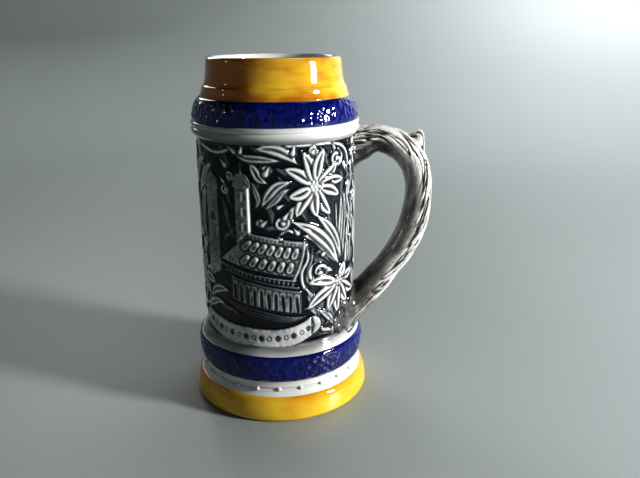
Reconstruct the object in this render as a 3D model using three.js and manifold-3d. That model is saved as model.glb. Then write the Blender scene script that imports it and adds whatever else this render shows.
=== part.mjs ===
// Relief beer stein that holds about 0.7 litre to the brim: a slip-cast glazed vessel
// with a branch-shaped handle luted on with two pads of slip. Millimetres, +Z up,
// origin at the centre of the base, handle towards +X.
import * as THREE from "three";
import { mergeVertices } from "three/addons/utils/BufferGeometryUtils.js";
import Module from "manifold-3d";

const wasm = await Module();
wasm.setup();

// ---- Driving dimensions (mm) ----
const HEIGHT = 190;
const WALL = 5.5;
const FLOOR = 9;

// Heights of the glaze zones, from the table up.
const FOOT_TOP = 13.5;
const BEAD_BAND_TOP = 22;
const LOWER_BAND_TOP = 37;
const RELIEF_BOTTOM = 41.5;
const RELIEF_TOP = 149.5;
const SHOULDER_TOP = 158;
const UPPER_BAND_TOP = 170;

// Outside radii.
const BASE_RADIUS = 51;
const FOOT_NECK_RADIUS = 47;
const BEAD_WAIST_RADIUS = 45.2;
const LOWER_BAND_RADIUS = 47.6;
const LOWER_MOULDING_RADIUS = 46.2;
const RELIEF_RADIUS = 43.5;
const SHOULDER_RADIUS = 45.1;
const COLLAR_FOOT_RADIUS = 40.6;
const COLLAR_RADIUS = 36.8;
const RIM_RADIUS = 35.9;

// Inside radii.
const CUP_RADIUS = RELIEF_RADIUS - WALL;
const MOUTH_RADIUS = RIM_RADIUS - 4.4;
const CUP_CORNER = 9;

// Handle: a branch about 14 mm thick and 17 mm wide.
const BRANCH_HALF_THICKNESS = 6.8;
const BRANCH_HALF_WIDTH = 8.6;
const STUB_RADIUS = 7.4;
const STUB_TIP_RADIUS = 3.5;
const STUB_LENGTH = 16.4;
const STUB_LEAN_DEG = 10;
const STUB_ROOT = [76, 0, 134.4];

// Clearances between pieces that touch on the real stein.
const GAP = 0.3;
const SLIP_THICKNESS = 1.2;
const SLIP_FILLET = 1.9;

// Facets.
const ROUND_SEGMENTS = 60;
const BRANCH_SEGMENTS = 24;
const BRANCH_STEPS = 34;
const ARC_POINTS = 4;

// ---- Shared helpers ----
function glaze(color, roughness) {
  return new THREE.MeshStandardMaterial({ color, roughness, metalness: 0 });
}

// Turns a profile of (radius, height) points about the Z axis.
function turned(points) {
  return new THREE.LatheGeometry(points, ROUND_SEGMENTS).rotateX(Math.PI / 2);
}

function toSolid(geometry) {
  const bare = geometry.clone();
  bare.deleteAttribute("normal");
  bare.deleteAttribute("uv");
  const merged = mergeVertices(bare);
  const index = merged.index.array;
  const corners = [];
  for (let i = 0; i < index.length; i += 3) {
    const [a, b, c] = [index[i], index[i + 1], index[i + 2]];
    if (a !== b && b !== c && c !== a) corners.push(a, b, c);
  }
  const vertProperties = new Float32Array(merged.attributes.position.array);
  return new wasm.Manifold(
    new wasm.Mesh({ numProp: 3, vertProperties, triVerts: new Uint32Array(corners) })
  );
}

function toGeometry(solid) {
  const mesh = solid.getMesh();
  const geometry = new THREE.BufferGeometry();
  geometry.setAttribute("position", new THREE.BufferAttribute(mesh.vertProperties, 3));
  geometry.setIndex(new THREE.BufferAttribute(mesh.triVerts, 1));
  geometry.computeVertexNormals();
  return geometry;
}

// ---- Vessel ----
// The outside, from the middle of the base to the top of the lip.
function outsidePath() {
  const path = new THREE.Path();
  path.moveTo(0, 0);
  path.lineTo(BASE_RADIUS - 2.6, 0);
  path.quadraticCurveTo(BASE_RADIUS, 0, BASE_RADIUS, 2.6);
  path.quadraticCurveTo(BASE_RADIUS, 9.5, FOOT_NECK_RADIUS + 1.2, FOOT_TOP - 1.5);
  path.lineTo(FOOT_NECK_RADIUS, FOOT_TOP);
  path.quadraticCurveTo(BEAD_WAIST_RADIUS - 0.6, FOOT_TOP + 4.5, BEAD_WAIST_RADIUS + 0.7, BEAD_BAND_TOP);
  path.lineTo(LOWER_BAND_RADIUS - 0.7, BEAD_BAND_TOP + 1.4);
  path.quadraticCurveTo(
    LOWER_BAND_RADIUS + 0.6, BEAD_BAND_TOP + 8,
    LOWER_BAND_RADIUS - 0.5, LOWER_BAND_TOP - 0.8
  );
  path.lineTo(LOWER_MOULDING_RADIUS, LOWER_BAND_TOP);
  path.quadraticCurveTo(LOWER_MOULDING_RADIUS - 0.6, RELIEF_BOTTOM - 2.6, RELIEF_RADIUS, RELIEF_BOTTOM);
  path.lineTo(RELIEF_RADIUS, (RELIEF_BOTTOM + RELIEF_TOP) / 2);
  path.lineTo(RELIEF_RADIUS - 0.3, RELIEF_TOP);
  path.quadraticCurveTo(SHOULDER_RADIUS, RELIEF_TOP + 0.4, SHOULDER_RADIUS, RELIEF_TOP + 2.6);
  path.lineTo(SHOULDER_RADIUS, SHOULDER_TOP);
  path.quadraticCurveTo(SHOULDER_RADIUS - 0.3, SHOULDER_TOP + 8.4, COLLAR_FOOT_RADIUS, UPPER_BAND_TOP);
  path.quadraticCurveTo(COLLAR_RADIUS + 1.6, UPPER_BAND_TOP + 2.6, COLLAR_RADIUS, UPPER_BAND_TOP + 8);
  path.lineTo(RIM_RADIUS, HEIGHT - 2.4);
  path.quadraticCurveTo(RIM_RADIUS - 0.1, HEIGHT, RIM_RADIUS - 2.1, HEIGHT);
  return path;
}

function vesselGeometry() {
  const path = outsidePath();
  path.quadraticCurveTo(MOUTH_RADIUS, HEIGHT, MOUTH_RADIUS, HEIGHT - 2.6);
  path.lineTo(MOUTH_RADIUS, UPPER_BAND_TOP + 7);
  path.bezierCurveTo(
    MOUTH_RADIUS + 0.4, UPPER_BAND_TOP - 2,
    CUP_RADIUS, SHOULDER_TOP + 2,
    CUP_RADIUS, RELIEF_TOP - 3
  );
  path.lineTo(CUP_RADIUS, FLOOR + CUP_CORNER);
  path.quadraticCurveTo(CUP_RADIUS, FLOOR, CUP_RADIUS - CUP_CORNER, FLOOR);
  path.lineTo(0, FLOOR);
  return turned(path.getPoints(ARC_POINTS));
}

// The vessel's outside as a solid core, grown outwards by the given clearance.
function vesselCore(grow) {
  const path = outsidePath();
  path.lineTo(0, HEIGHT);
  const grown = path.getPoints(ARC_POINTS).map(
    (point) => new THREE.Vector2(point.x > 0 ? point.x + grow : 0, point.y)
  );
  return toSolid(turned(grown));
}

// ---- Handle ----
// The middle of the branch in the XZ plane, from inside the upper wall round to the lower wall.
const branchLine = new THREE.CatmullRomCurve3(
  [
    [36, 141.5],
    [47, 143.6],
    [57.5, 145],
    [67, 142.2],
    [74.6, 135],
    [78.8, 125.5],
    [80.2, 115],
    [79.2, 103.5],
    [76, 91.5],
    [70.2, 79.8],
    [62.6, 68.8],
    [54.4, 58.4],
    [46.5, 49.5],
    [38, 41.5],
  ].map(([x, z]) => new THREE.Vector3(x, 0, z)),
  false,
  "centripetal"
);

// How much the branch flares where it meets the wall: 0 along its length, 1 at an end.
function rootFlare(along, length) {
  return Math.max(0, 1 - along / length) ** 2;
}

// A cylinder bent along the branch line. Its section is a rounded oblong, and grow makes the
// whole skin stand out, or spread makes only its two roots wider.
function branchGeometry(grow, spread) {
  const stem = new THREE.CylinderGeometry(1, 1, 1, BRANCH_SEGMENTS, BRANCH_STEPS);
  const position = stem.attributes.position;
  const centre = new THREE.Vector3();
  const tangent = new THREE.Vector3();
  for (let i = 0; i < position.count; i += 1) {
    const along = 0.5 - position.getY(i);
    const angle = Math.atan2(position.getX(i), position.getZ(i));
    const reach = Math.hypot(position.getX(i), position.getZ(i));
    branchLine.getPointAt(along, centre);
    branchLine.getTangentAt(along, tangent);
    const upper = rootFlare(along, 0.12);
    const lower = rootFlare(1 - along, 0.26);
    const thickness = BRANCH_HALF_THICKNESS + upper * 1.5 + lower * 5 + grow + spread;
    const width = BRANCH_HALF_WIDTH + upper * 3.5 + lower * 9 + grow + spread;
    const round = reach / (Math.abs(Math.cos(angle)) ** 2.5 + Math.abs(Math.sin(angle)) ** 2.5) ** 0.4;
    const outwards = thickness * round * Math.sin(angle);
    position.setXYZ(
      i,
      centre.x + outwards * -tangent.z,
      width * round * -Math.cos(angle),
      centre.z + outwards * tangent.x
    );
  }
  return stem;
}

// The cut stub of a side twig at the bend, which serves as the thumb rest.
function stubGeometry(grow) {
  const stub = new THREE.CylinderGeometry(
    STUB_TIP_RADIUS + grow, STUB_RADIUS + grow, STUB_LENGTH + grow, BRANCH_SEGMENTS / 2
  );
  stub.translate(0, (STUB_LENGTH + grow) / 2, 0);
  stub.rotateX(Math.PI / 2);
  stub.rotateY(THREE.MathUtils.degToRad(STUB_LEAN_DEG));
  stub.translate(...STUB_ROOT);
  return stub;
}

function branchSolid(grow) {
  return toSolid(branchGeometry(grow, 0)).add(toSolid(stubGeometry(grow)));
}

const handleSolid = branchSolid(0).subtract(vesselCore(2 * GAP + SLIP_THICKNESS));

// The slip that lutes both roots to the wall, squeezed out into a small fillet round each.
const slipSolid = toSolid(branchGeometry(0, SLIP_FILLET))
  .intersect(vesselCore(GAP + SLIP_FILLET))
  .subtract(vesselCore(GAP))
  .subtract(
    toSolid(branchGeometry(GAP, 0)).subtract(vesselCore(GAP + SLIP_THICKNESS))
  );

// ---- Assembly ----
const stein = new THREE.Group();

function addPiece(name, geometry, material) {
  const piece = new THREE.Mesh(geometry, material);
  piece.name = name;
  stein.add(piece);
}

addPiece("stein_body", vesselGeometry(), glaze(0xe8e6dc, 0.15));
addPiece("handle", toGeometry(handleSolid), glaze(0xa8a298, 0.2));
const slipPads = slipSolid.decompose().sort((a, b) => b.boundingBox().max[2] - a.boundingBox().max[2]);
["upper_slip_joint", "lower_slip_joint"].forEach((name, i) => {
  addPiece(name, toGeometry(slipPads[i]), glaze(0x8f8c86, 0.3));
});

export default stein;
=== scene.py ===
"""A lidless relief beer stein, about 0.77 litre to the brim: glazed ceramic with a branch handle.

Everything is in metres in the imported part's frame. Lengths are written in millimetres and
multiplied by MM. Angles round the barrel start at the handle (+X) and grow towards the front (-Y),
or towards the back (+Y) on the mirrored half of the relief.
"""

import math

import bpy
import numpy as np
from mathutils import Matrix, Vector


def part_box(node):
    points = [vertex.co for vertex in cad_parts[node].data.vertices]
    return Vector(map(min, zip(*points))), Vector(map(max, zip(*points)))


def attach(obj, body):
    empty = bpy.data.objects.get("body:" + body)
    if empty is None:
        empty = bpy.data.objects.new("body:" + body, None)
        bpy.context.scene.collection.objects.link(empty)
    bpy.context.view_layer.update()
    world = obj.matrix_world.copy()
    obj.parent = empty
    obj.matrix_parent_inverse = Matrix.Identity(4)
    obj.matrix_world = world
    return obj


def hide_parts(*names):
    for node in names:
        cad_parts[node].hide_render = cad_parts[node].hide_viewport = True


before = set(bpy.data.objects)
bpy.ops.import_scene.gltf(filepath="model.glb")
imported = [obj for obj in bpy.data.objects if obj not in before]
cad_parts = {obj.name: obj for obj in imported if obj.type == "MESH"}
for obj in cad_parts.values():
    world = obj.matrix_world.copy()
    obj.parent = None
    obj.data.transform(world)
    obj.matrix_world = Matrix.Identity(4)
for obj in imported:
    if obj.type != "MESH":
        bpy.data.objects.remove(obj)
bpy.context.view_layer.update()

# ---- Sizes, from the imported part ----
# Heights in mm where the glaze zones meet, from the foot up.
FOOT_TOP = 13.5
BEAD_BAND_TOP = 22.0
LOWER_BAND_TOP = 37.0
RELIEF_BOTTOM = 41.5
RELIEF_TOP = 149.5
SHOULDER_TOP = 158.0
UPPER_BAND_TOP = 170.0
LIP_TOP = 190.0

# One of the drawing's millimetres, in metres.
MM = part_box("stein_body")[1].z / LIP_TOP

# The relief's ground, how deep its panels go behind it, and the step of its surface grid, in mm.
GROUND_RADIUS = 42.3
RELIEF_THICKNESS = 2.6
GRID_STEP = 0.39
MM_PER_DEGREE = GROUND_RADIUS * math.pi / 180

# Steps round a plain turned piece, a dimpled band, the lining and the underside.
RING_SEGMENTS = 400
BAND_SEGMENTS = 640
LINING_SEGMENTS = 256
UNDERSIDE_SEGMENTS = 192

# Radius in mm of the circle that every section is swept round.
CORE_RADIUS = 10.0

# Fired glaze over clay.
GLAZE_IOR = 1.52
GLAZE_COAT_ROUGHNESS = 0.02


# ---- Building node trees ----
def make_tree(name, kind, inputs, outputs):
    """A node group with named inputs (name, socket type, start value) and outputs (name, type)."""
    tree = bpy.data.node_groups.new(name, kind)
    for label, socket, value in inputs:
        item = tree.interface.new_socket(label, in_out="INPUT", socket_type=socket)
        if value is not None:
            item.default_value = value
    for label, socket in outputs:
        tree.interface.new_socket(label, in_out="OUTPUT", socket_type=socket)
    source = tree.nodes.new("NodeGroupInput")
    sink = tree.nodes.new("NodeGroupOutput")
    return tree, source.outputs, sink.inputs


def add(tree, kind, inputs=None, **settings):
    """Adds a node. An input is given by name or number, as a value or as the socket that feeds it."""
    node = tree.nodes.new(kind)
    for key, value in settings.items():
        setattr(node, key, value)
    for key, value in (inputs or {}).items():
        if isinstance(value, bpy.types.NodeSocket):
            tree.links.new(value, node.inputs[key])
        else:
            node.inputs[key].default_value = value
    return node


def calc(tree, operation, *values, clamp=False):
    """A Math node's result."""
    node = add(tree, "ShaderNodeMath", dict(enumerate(values)), operation=operation)
    node.use_clamp = clamp
    return node.outputs[0]


def vector_calc(tree, operation, *values, result=0):
    """A Vector Math node's result: output 0 is a vector and output 1 a number."""
    node = add(tree, "ShaderNodeVectorMath", operation=operation)
    for number, value in enumerate(values):
        slot = node.inputs["Scale"] if operation == "SCALE" and number == 1 else node.inputs[number]
        if isinstance(value, bpy.types.NodeSocket):
            tree.links.new(value, slot)
        else:
            slot.default_value = value
    return node.outputs[result]


def remap(tree, value, from_low, from_high, to_low=0.0, to_high=1.0, smooth=True):
    """A Map Range node's result."""
    kind = "SMOOTHSTEP" if smooth else "LINEAR"
    given = {
        "Value": value,
        "From Min": from_low,
        "From Max": from_high,
        "To Min": to_low,
        "To Max": to_high,
    }
    return add(tree, "ShaderNodeMapRange", given, interpolation_type=kind).outputs[0]


def attribute(tree, name):
    """A named number on the surface, in a geometry tree."""
    return add(tree, "GeometryNodeInputNamedAttribute", {"Name": name}, data_type="FLOAT").outputs[0]


def keep_attribute(tree, geometry, name, value):
    """Stores a number on each point of the geometry, for the material to read."""
    given = {"Geometry": geometry, "Name": name, "Value": value}
    node = add(tree, "GeometryNodeStoreNamedAttribute", given, data_type="FLOAT", domain="POINT")
    return node.outputs[0]


def finish_tree(tree, geometry, material, sink):
    """Realizes instances, shades smooth, sets the material and closes the tree."""
    real = add(tree, "GeometryNodeRealizeInstances", {"Geometry": geometry}).outputs[0]
    smooth = add(tree, "GeometryNodeSetShadeSmooth", {"Geometry": real}).outputs[0]
    done = add(tree, "GeometryNodeSetMaterial", {"Geometry": smooth, "Material": material}).outputs[0]
    tree.links.new(done, sink[0])


def grow(name, base, *steps):
    """Runs geometry trees, each (tree, {input: value}), on a base object. Returns a plain mesh object."""
    for tree, sizes in steps:
        modifier = base.modifiers.new(tree.name, "NODES")
        modifier.node_group = tree
        for item in tree.interface.items_tree:
            if item.item_type == "SOCKET" and item.in_out == "INPUT" and item.name in sizes:
                modifier[item.identifier] = sizes[item.name]
    depsgraph = bpy.context.evaluated_depsgraph_get()
    mesh = bpy.data.meshes.new_from_object(
        base.evaluated_get(depsgraph), preserve_all_data_layers=True, depsgraph=depsgraph
    )
    mesh.name = name
    bpy.data.objects.remove(base)
    piece = bpy.data.objects.new(name, mesh)
    bpy.context.scene.collection.objects.link(piece)
    return piece


def curve_object(name, points, closed=False):
    """A poly curve through points given in metres."""
    curve = bpy.data.curves.new(name, "CURVE")
    curve.dimensions = "3D"
    spline = curve.splines.new("POLY")
    spline.points.add(len(points) - 1)
    for spot, point in zip(spline.points, points):
        spot.co = (*point, 1.0)
    spline.use_cyclic_u = closed
    thing = bpy.data.objects.new(name, curve)
    bpy.context.scene.collection.objects.link(thing)
    return thing


def mesh_object(name, vertices, faces, numbers=None):
    """A smooth mesh, with named numbers on its vertices."""
    mesh = bpy.data.meshes.new(name)
    mesh.from_pydata([tuple(v) for v in vertices], [], faces)
    for label, values in (numbers or {}).items():
        layer = mesh.attributes.new(label, "FLOAT", "POINT")
        layer.data.foreach_set("value", np.asarray(values, np.float32))
    mesh.polygons.foreach_set("use_smooth", [True] * len(mesh.polygons))
    mesh.update()
    thing = bpy.data.objects.new(name, mesh)
    bpy.context.scene.collection.objects.link(thing)
    return thing


def rounded(points, step):
    """A smooth line through the points (Catmull-Rom), at about one point each step."""
    given = np.array(points, float)
    if len(given) == 2:
        count = max(int(np.linalg.norm(given[1] - given[0]) / step), 2)
        return given[0] + (given[1] - given[0]) * np.linspace(0, 1, count)[:, None]
    ends = np.vstack([2 * given[0] - given[1], given, 2 * given[-1] - given[-2]])
    line = []
    for a, b, c, d in zip(ends, ends[1:], ends[2:], ends[3:]):
        count = max(int(np.linalg.norm(c - b) / step), 2)
        t = np.linspace(0, 1, count, endpoint=False)[:, None]
        first = 2 * b + (c - a) * t
        second = (2 * a - 5 * b + 4 * c - d) * t**2
        third = (3 * b - a - 3 * c + d) * t**3
        line.append(0.5 * (first + second + third))
    return np.vstack(line + [given[-1:]])


# ---- Effects that several glazes share ----
def noise(tree, coordinates, scale, detail=2.0, roughness=0.5):
    """A Noise Texture's value, about 0.5 on average."""
    given = {"Vector": coordinates, "Scale": scale, "Detail": detail, "Roughness": roughness}
    return add(tree, "ShaderNodeTexNoise", given).outputs[0]


def glaze_ripple_group():
    """The slight waviness of fired glaze, as a normal."""
    inputs = (
        ("Wave size", "NodeSocketFloat", 0.009),
        ("Wave depth", "NodeSocketFloat", 0.0001),
        ("Peel size", "NodeSocketFloat", 0.0016),
        ("Peel depth", "NodeSocketFloat", 0.00001),
    )
    outputs = [("Normal", "NodeSocketVector")]
    tree, given, sink = make_tree("Glaze ripple", "ShaderNodeTree", inputs, outputs)
    place = add(tree, "ShaderNodeTexCoord").outputs["Object"]
    wave = noise(tree, place, calc(tree, "DIVIDE", 1.0, given["Wave size"]), 1.0)
    peel = noise(tree, place, calc(tree, "DIVIDE", 1.0, given["Peel size"]), 0.0)
    height = calc(
        tree, "ADD",
        calc(tree, "MULTIPLY", wave, given["Wave depth"]),
        calc(tree, "MULTIPLY", peel, given["Peel depth"]),
    )
    bump = add(tree, "ShaderNodeBump", {"Height": height, "Strength": 1.0, "Distance": 1.0})
    tree.links.new(bump.outputs[0], sink["Normal"])
    return tree


def brushed_coat_group():
    """Colour of a brushed-on glaze: streaks round the pot, clouds, pooling towards one height, and
    painted shade: a darker colour on the side away from the handle, which the key light doesn't reach."""
    inputs = (
        ("Thin colour", "NodeSocketColor", (1, 1, 1, 1)),
        ("Thick glaze and painted shade colour", "NodeSocketColor", (0, 0, 0, 1)),
        ("Streaks", "NodeSocketFloat", 0.5),
        ("Clouds", "NodeSocketFloat", 0.5),
        ("Pool height", "NodeSocketFloat", 0.0),
        ("Pool reach", "NodeSocketFloat", 0.004),
        ("Pool strength", "NodeSocketFloat", 0.5),
        ("Painted shade away from handle", "NodeSocketFloat", 0.0),
        ("Painted shade from", "NodeSocketFloat", 0.012),
    )
    outputs = [("Colour", "NodeSocketColor")]
    tree, given, sink = make_tree("Brushed coat", "ShaderNodeTree", inputs, outputs)
    place = add(tree, "ShaderNodeTexCoord").outputs["Object"]
    flat = add(tree, "ShaderNodeMapping", {"Vector": place, "Scale": (1.0, 1.0, 3.5)}).outputs[0]
    streak = remap(tree, noise(tree, flat, 55.0, 3.0, 0.6), 0.35, 0.68)
    cloud = remap(tree, noise(tree, place, 30.0, 2.0), 0.38, 0.68)
    parts = add(tree, "ShaderNodeSeparateXYZ", {0: place}).outputs
    across_pot = 50 * MM
    # Painted shade: towards -X, the side away from the handle and the key light, the colour moves towards
    # the thick colour.
    beyond = calc(tree, "DIVIDE", calc(tree, "SUBTRACT", given["Painted shade from"], parts["X"]), across_pot)
    painted_shade = calc(tree, "MULTIPLY", beyond, given["Painted shade away from handle"])
    away = calc(tree, "ABSOLUTE", calc(tree, "SUBTRACT", parts["Z"], given["Pool height"]))
    pool = calc(tree, "SUBTRACT", 1.0, calc(tree, "DIVIDE", away, given["Pool reach"]), clamp=True)
    share = calc(tree, "MULTIPLY", streak, given["Streaks"])
    share = calc(tree, "ADD", share, calc(tree, "MULTIPLY", cloud, given["Clouds"]))
    share = calc(tree, "ADD", share, painted_shade)
    share = calc(tree, "ADD", share, calc(tree, "MULTIPLY", pool, given["Pool strength"]), clamp=True)
    mix = add(tree, "ShaderNodeMix", data_type="RGBA")
    tree.links.new(share, mix.inputs["Factor"])
    tree.links.new(given["Thin colour"], mix.inputs["A"])
    tree.links.new(given["Thick glaze and painted shade colour"], mix.inputs["B"])
    tree.links.new(mix.outputs["Result"], sink["Colour"])
    return tree


def antiqued_group():
    """Black stain left in the hollows and rubbed off the raised forms, by how far each spot is raised."""
    inputs = (
        ("Raised", "NodeSocketFloat", 0.5),
        ("Stain colour", "NodeSocketColor", (0.01, 0.012, 0.02, 1)),
        ("Half-rubbed colour", "NodeSocketColor", (0.2, 0.2, 0.2, 1)),
        ("Rubbed colour", "NodeSocketColor", (0.8, 0.8, 0.78, 1)),
        ("Patchiness", "NodeSocketFloat", 0.3),
    )
    outputs = [("Colour", "NodeSocketColor")]
    tree, given, sink = make_tree("Antiqued stain", "ShaderNodeTree", inputs, outputs)
    place = add(tree, "ShaderNodeTexCoord").outputs["Object"]
    patch = calc(tree, "SUBTRACT", noise(tree, place, 90.0, 3.0, 0.6), 0.5)
    smear = calc(tree, "SUBTRACT", noise(tree, place, 700.0, 2.0, 0.5), 0.5)
    uneven = calc(tree, "ADD", patch, calc(tree, "MULTIPLY", smear, 0.5))
    uneven = calc(tree, "MULTIPLY", uneven, given["Patchiness"])
    rubbed = calc(tree, "ADD", given["Raised"], uneven, clamp=True)
    low = add(tree, "ShaderNodeMix", data_type="RGBA")
    tree.links.new(remap(tree, rubbed, 0.08, 0.55), low.inputs["Factor"])
    tree.links.new(given["Stain colour"], low.inputs["A"])
    tree.links.new(given["Half-rubbed colour"], low.inputs["B"])
    high = add(tree, "ShaderNodeMix", data_type="RGBA")
    tree.links.new(remap(tree, rubbed, 0.4, 0.85), high.inputs["Factor"])
    tree.links.new(low.outputs["Result"], high.inputs["A"])
    tree.links.new(given["Rubbed colour"], high.inputs["B"])
    tree.links.new(high.outputs["Result"], sink["Colour"])
    return tree


ripple_group = glaze_ripple_group()
coat_group = brushed_coat_group()
stain_group = antiqued_group()


# ---- Glazes ----
def glaze(name, colour=None, roughness=0.07, coat=0.6, wave=0.00008, wave_size=0.009):
    """A glossy ceramic material. Returns it, its tree and its Principled shader."""
    material = bpy.data.materials.new(name)
    material.use_nodes = True
    tree = material.node_tree
    shader = tree.nodes["Principled BSDF"]
    shader.inputs["Roughness"].default_value = roughness
    shader.inputs["Coat Weight"].default_value = coat
    shader.inputs["Coat Roughness"].default_value = GLAZE_COAT_ROUGHNESS
    shader.inputs["IOR"].default_value = GLAZE_IOR
    if colour:
        shader.inputs["Base Color"].default_value = (*colour, 1)
        material.diffuse_color = (*colour, 1)
    ripple = add(tree, "ShaderNodeGroup", node_tree=ripple_group)
    ripple.inputs["Wave depth"].default_value = wave
    ripple.inputs["Wave size"].default_value = wave_size
    tree.links.new(ripple.outputs["Normal"], shader.inputs["Normal"])
    return material, tree, shader


def brushed_glaze(name, thin, thick, streaks, clouds, pool, painted_shade=0.0, **finish):
    """A coloured glaze, brushed on. pool is where it gathers: its height and reach in mm, and how much.
    thick is the colour of thick glaze and also of the painted shade, which the number after pool spreads
    over the side away from the handle.
    """
    pool_height, pool_reach, pool_strength = pool
    material, tree, shader = glaze(name, thin, **finish)
    coat = add(tree, "ShaderNodeGroup", node_tree=coat_group)
    for label, value in (
        ("Thin colour", (*thin, 1)),
        ("Thick glaze and painted shade colour", (*thick, 1)),
        ("Streaks", streaks),
        ("Clouds", clouds),
        ("Pool height", pool_height * MM),
        ("Pool reach", pool_reach * MM),
        ("Pool strength", pool_strength),
        ("Painted shade away from handle", painted_shade),
    ):
        coat.inputs[label].default_value = value
    tree.links.new(coat.outputs["Colour"], shader.inputs["Base Color"])
    return material


def antiqued_glaze(name, raised_attribute, stain, half, rubbed, patchiness, **finish):
    """A clear glaze over stain that is left in the hollows, by a number kept on the surface."""
    material, tree, shader = glaze(name, half, **finish)
    raised = add(tree, "ShaderNodeAttribute", attribute_name=raised_attribute).outputs["Fac"]
    coat = add(tree, "ShaderNodeGroup", {"Raised": raised}, node_tree=stain_group)
    colours = {"Stain colour": stain, "Half-rubbed colour": half, "Rubbed colour": rubbed}
    for label, colour in colours.items():
        coat.inputs[label].default_value = (*colour, 1)
    coat.inputs["Patchiness"].default_value = patchiness
    tree.links.new(coat.outputs["Colour"], shader.inputs["Base Color"])
    return material


# The numbers for the side away from the handle paint shade there, where the key light doesn't reach.
collar_yellow = brushed_glaze(
    "collar_yellow_glaze", (0.95, 0.70, 0.07), (0.48, 0.175, 0.012), 0.25, 0.85, (171.0, 4.0, 0.4), painted_shade=0.9
)
foot_yellow = brushed_glaze(
    "foot_yellow_glaze", (0.93, 0.67, 0.06), (0.62, 0.27, 0.014), 0.2, 0.5, (13.0, 3.0, 0.3), painted_shade=0.35
)
cobalt_blue = brushed_glaze(
    "cobalt_blue_glaze", (0.008, 0.016, 0.17), (0.003, 0.005, 0.07), 0.2, 0.6, (0.0, 1.0, 0.0),
    roughness=0.06, coat=0.5,
)
band_white = brushed_glaze(
    "band_white_glaze", (0.83, 0.83, 0.80), (0.42, 0.42, 0.41), 0.12, 0.15, (17.4, 1.8, 0.3), painted_shade=0.25
)
shoulder_white = brushed_glaze(
    "shoulder_white_glaze", (0.83, 0.83, 0.80), (0.20, 0.20, 0.21), 0.10, 0.12,
    (RELIEF_TOP, 5.0, 0.95), painted_shade=0.6,
)
moulding_white = brushed_glaze(
    "moulding_white_glaze", (0.70, 0.70, 0.67), (0.24, 0.24, 0.24), 0.25, 0.35,
    (RELIEF_BOTTOM, 4.0, 0.85), painted_shade=0.3,
)
lining_white = brushed_glaze(
    "lining_white_glaze", (0.84, 0.83, 0.79), (0.76, 0.75, 0.70), 0.2, 0.3, (9.0, 6.0, 0.2)
)
relief_stain = antiqued_glaze(
    "antiqued_relief_glaze", "raised",
    stain=(0.004, 0.005, 0.011), half=(0.14, 0.145, 0.155), rubbed=(0.75, 0.75, 0.74),
    patchiness=0.35, roughness=0.09, coat=0.45,
)
bark_stain = antiqued_glaze(
    "antiqued_bark_glaze", "raised",
    stain=(0.032, 0.029, 0.029), half=(0.265, 0.248, 0.23), rubbed=(0.76, 0.75, 0.72),
    patchiness=0.4, roughness=0.16, coat=0.5,
)


def bare_clay_material():
    """Unglazed fired clay under the foot, faintly speckled."""
    material = bpy.data.materials.new("bare_clay")
    material.use_nodes = True
    tree = material.node_tree
    shader = tree.nodes["Principled BSDF"]
    place = add(tree, "ShaderNodeTexCoord").outputs["Object"]
    grain = noise(tree, place, 900.0, 3.0, 0.7)
    ramp = add(tree, "ShaderNodeValToRGB", {"Fac": grain})
    ramp.color_ramp.elements[0].position = 0.3
    ramp.color_ramp.elements[0].color = (0.50, 0.44, 0.34, 1)
    ramp.color_ramp.elements[1].position = 0.6
    ramp.color_ramp.elements[1].color = (0.70, 0.65, 0.54, 1)
    tree.links.new(ramp.outputs[0], shader.inputs["Base Color"])
    bump = add(tree, "ShaderNodeBump", {"Height": grain, "Strength": 0.4, "Distance": 0.0002})
    tree.links.new(bump.outputs[0], shader.inputs["Normal"])
    shader.inputs["Roughness"].default_value = 0.85
    return material


bare_clay = bare_clay_material()


# ---- Geometry trees for the turned pieces ----
def turned_ring_tree():
    """Turns a closed section about the pot's axis, with a slight hand-made unevenness."""
    inputs = (
        ("Section", "NodeSocketGeometry", None),
        ("Segments", "NodeSocketInt", RING_SEGMENTS),
        ("Core radius", "NodeSocketFloat", 0.01),
        ("Unevenness", "NodeSocketFloat", 0.0001),
        ("Lump size", "NodeSocketFloat", 0.03),
        ("Glaze", "NodeSocketMaterial", None),
    )
    outputs = [("Ring", "NodeSocketGeometry")]
    tree, given, sink = make_tree("Turned ring", "GeometryNodeTree", inputs, outputs)
    circle = add(
        tree, "GeometryNodeCurvePrimitiveCircle",
        {"Resolution": given["Segments"], "Radius": given["Core radius"]},
    ).outputs[0]
    turned = add(
        tree, "GeometryNodeCurveToMesh", {"Curve": circle, "Profile Curve": given["Section"]}
    ).outputs[0]
    welded = add(tree, "GeometryNodeMergeByDistance", {"Geometry": turned, "Distance": 1e-6}).outputs[0]
    place = add(tree, "GeometryNodeInputPosition").outputs[0]
    size = calc(tree, "DIVIDE", 1.0, given["Lump size"])
    lump = calc(tree, "SUBTRACT", noise(tree, place, size, 1.0), 0.5)
    flat = vector_calc(tree, "MULTIPLY", place, (1.0, 1.0, 0.0))
    outwards = vector_calc(tree, "NORMALIZE", flat)
    shift = vector_calc(tree, "SCALE", outwards, calc(tree, "MULTIPLY", lump, given["Unevenness"]))
    moved = add(tree, "GeometryNodeSetPosition", {"Geometry": welded, "Offset": shift}).outputs[0]
    finish_tree(tree, moved, given["Glaze"], sink)
    return tree


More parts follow.
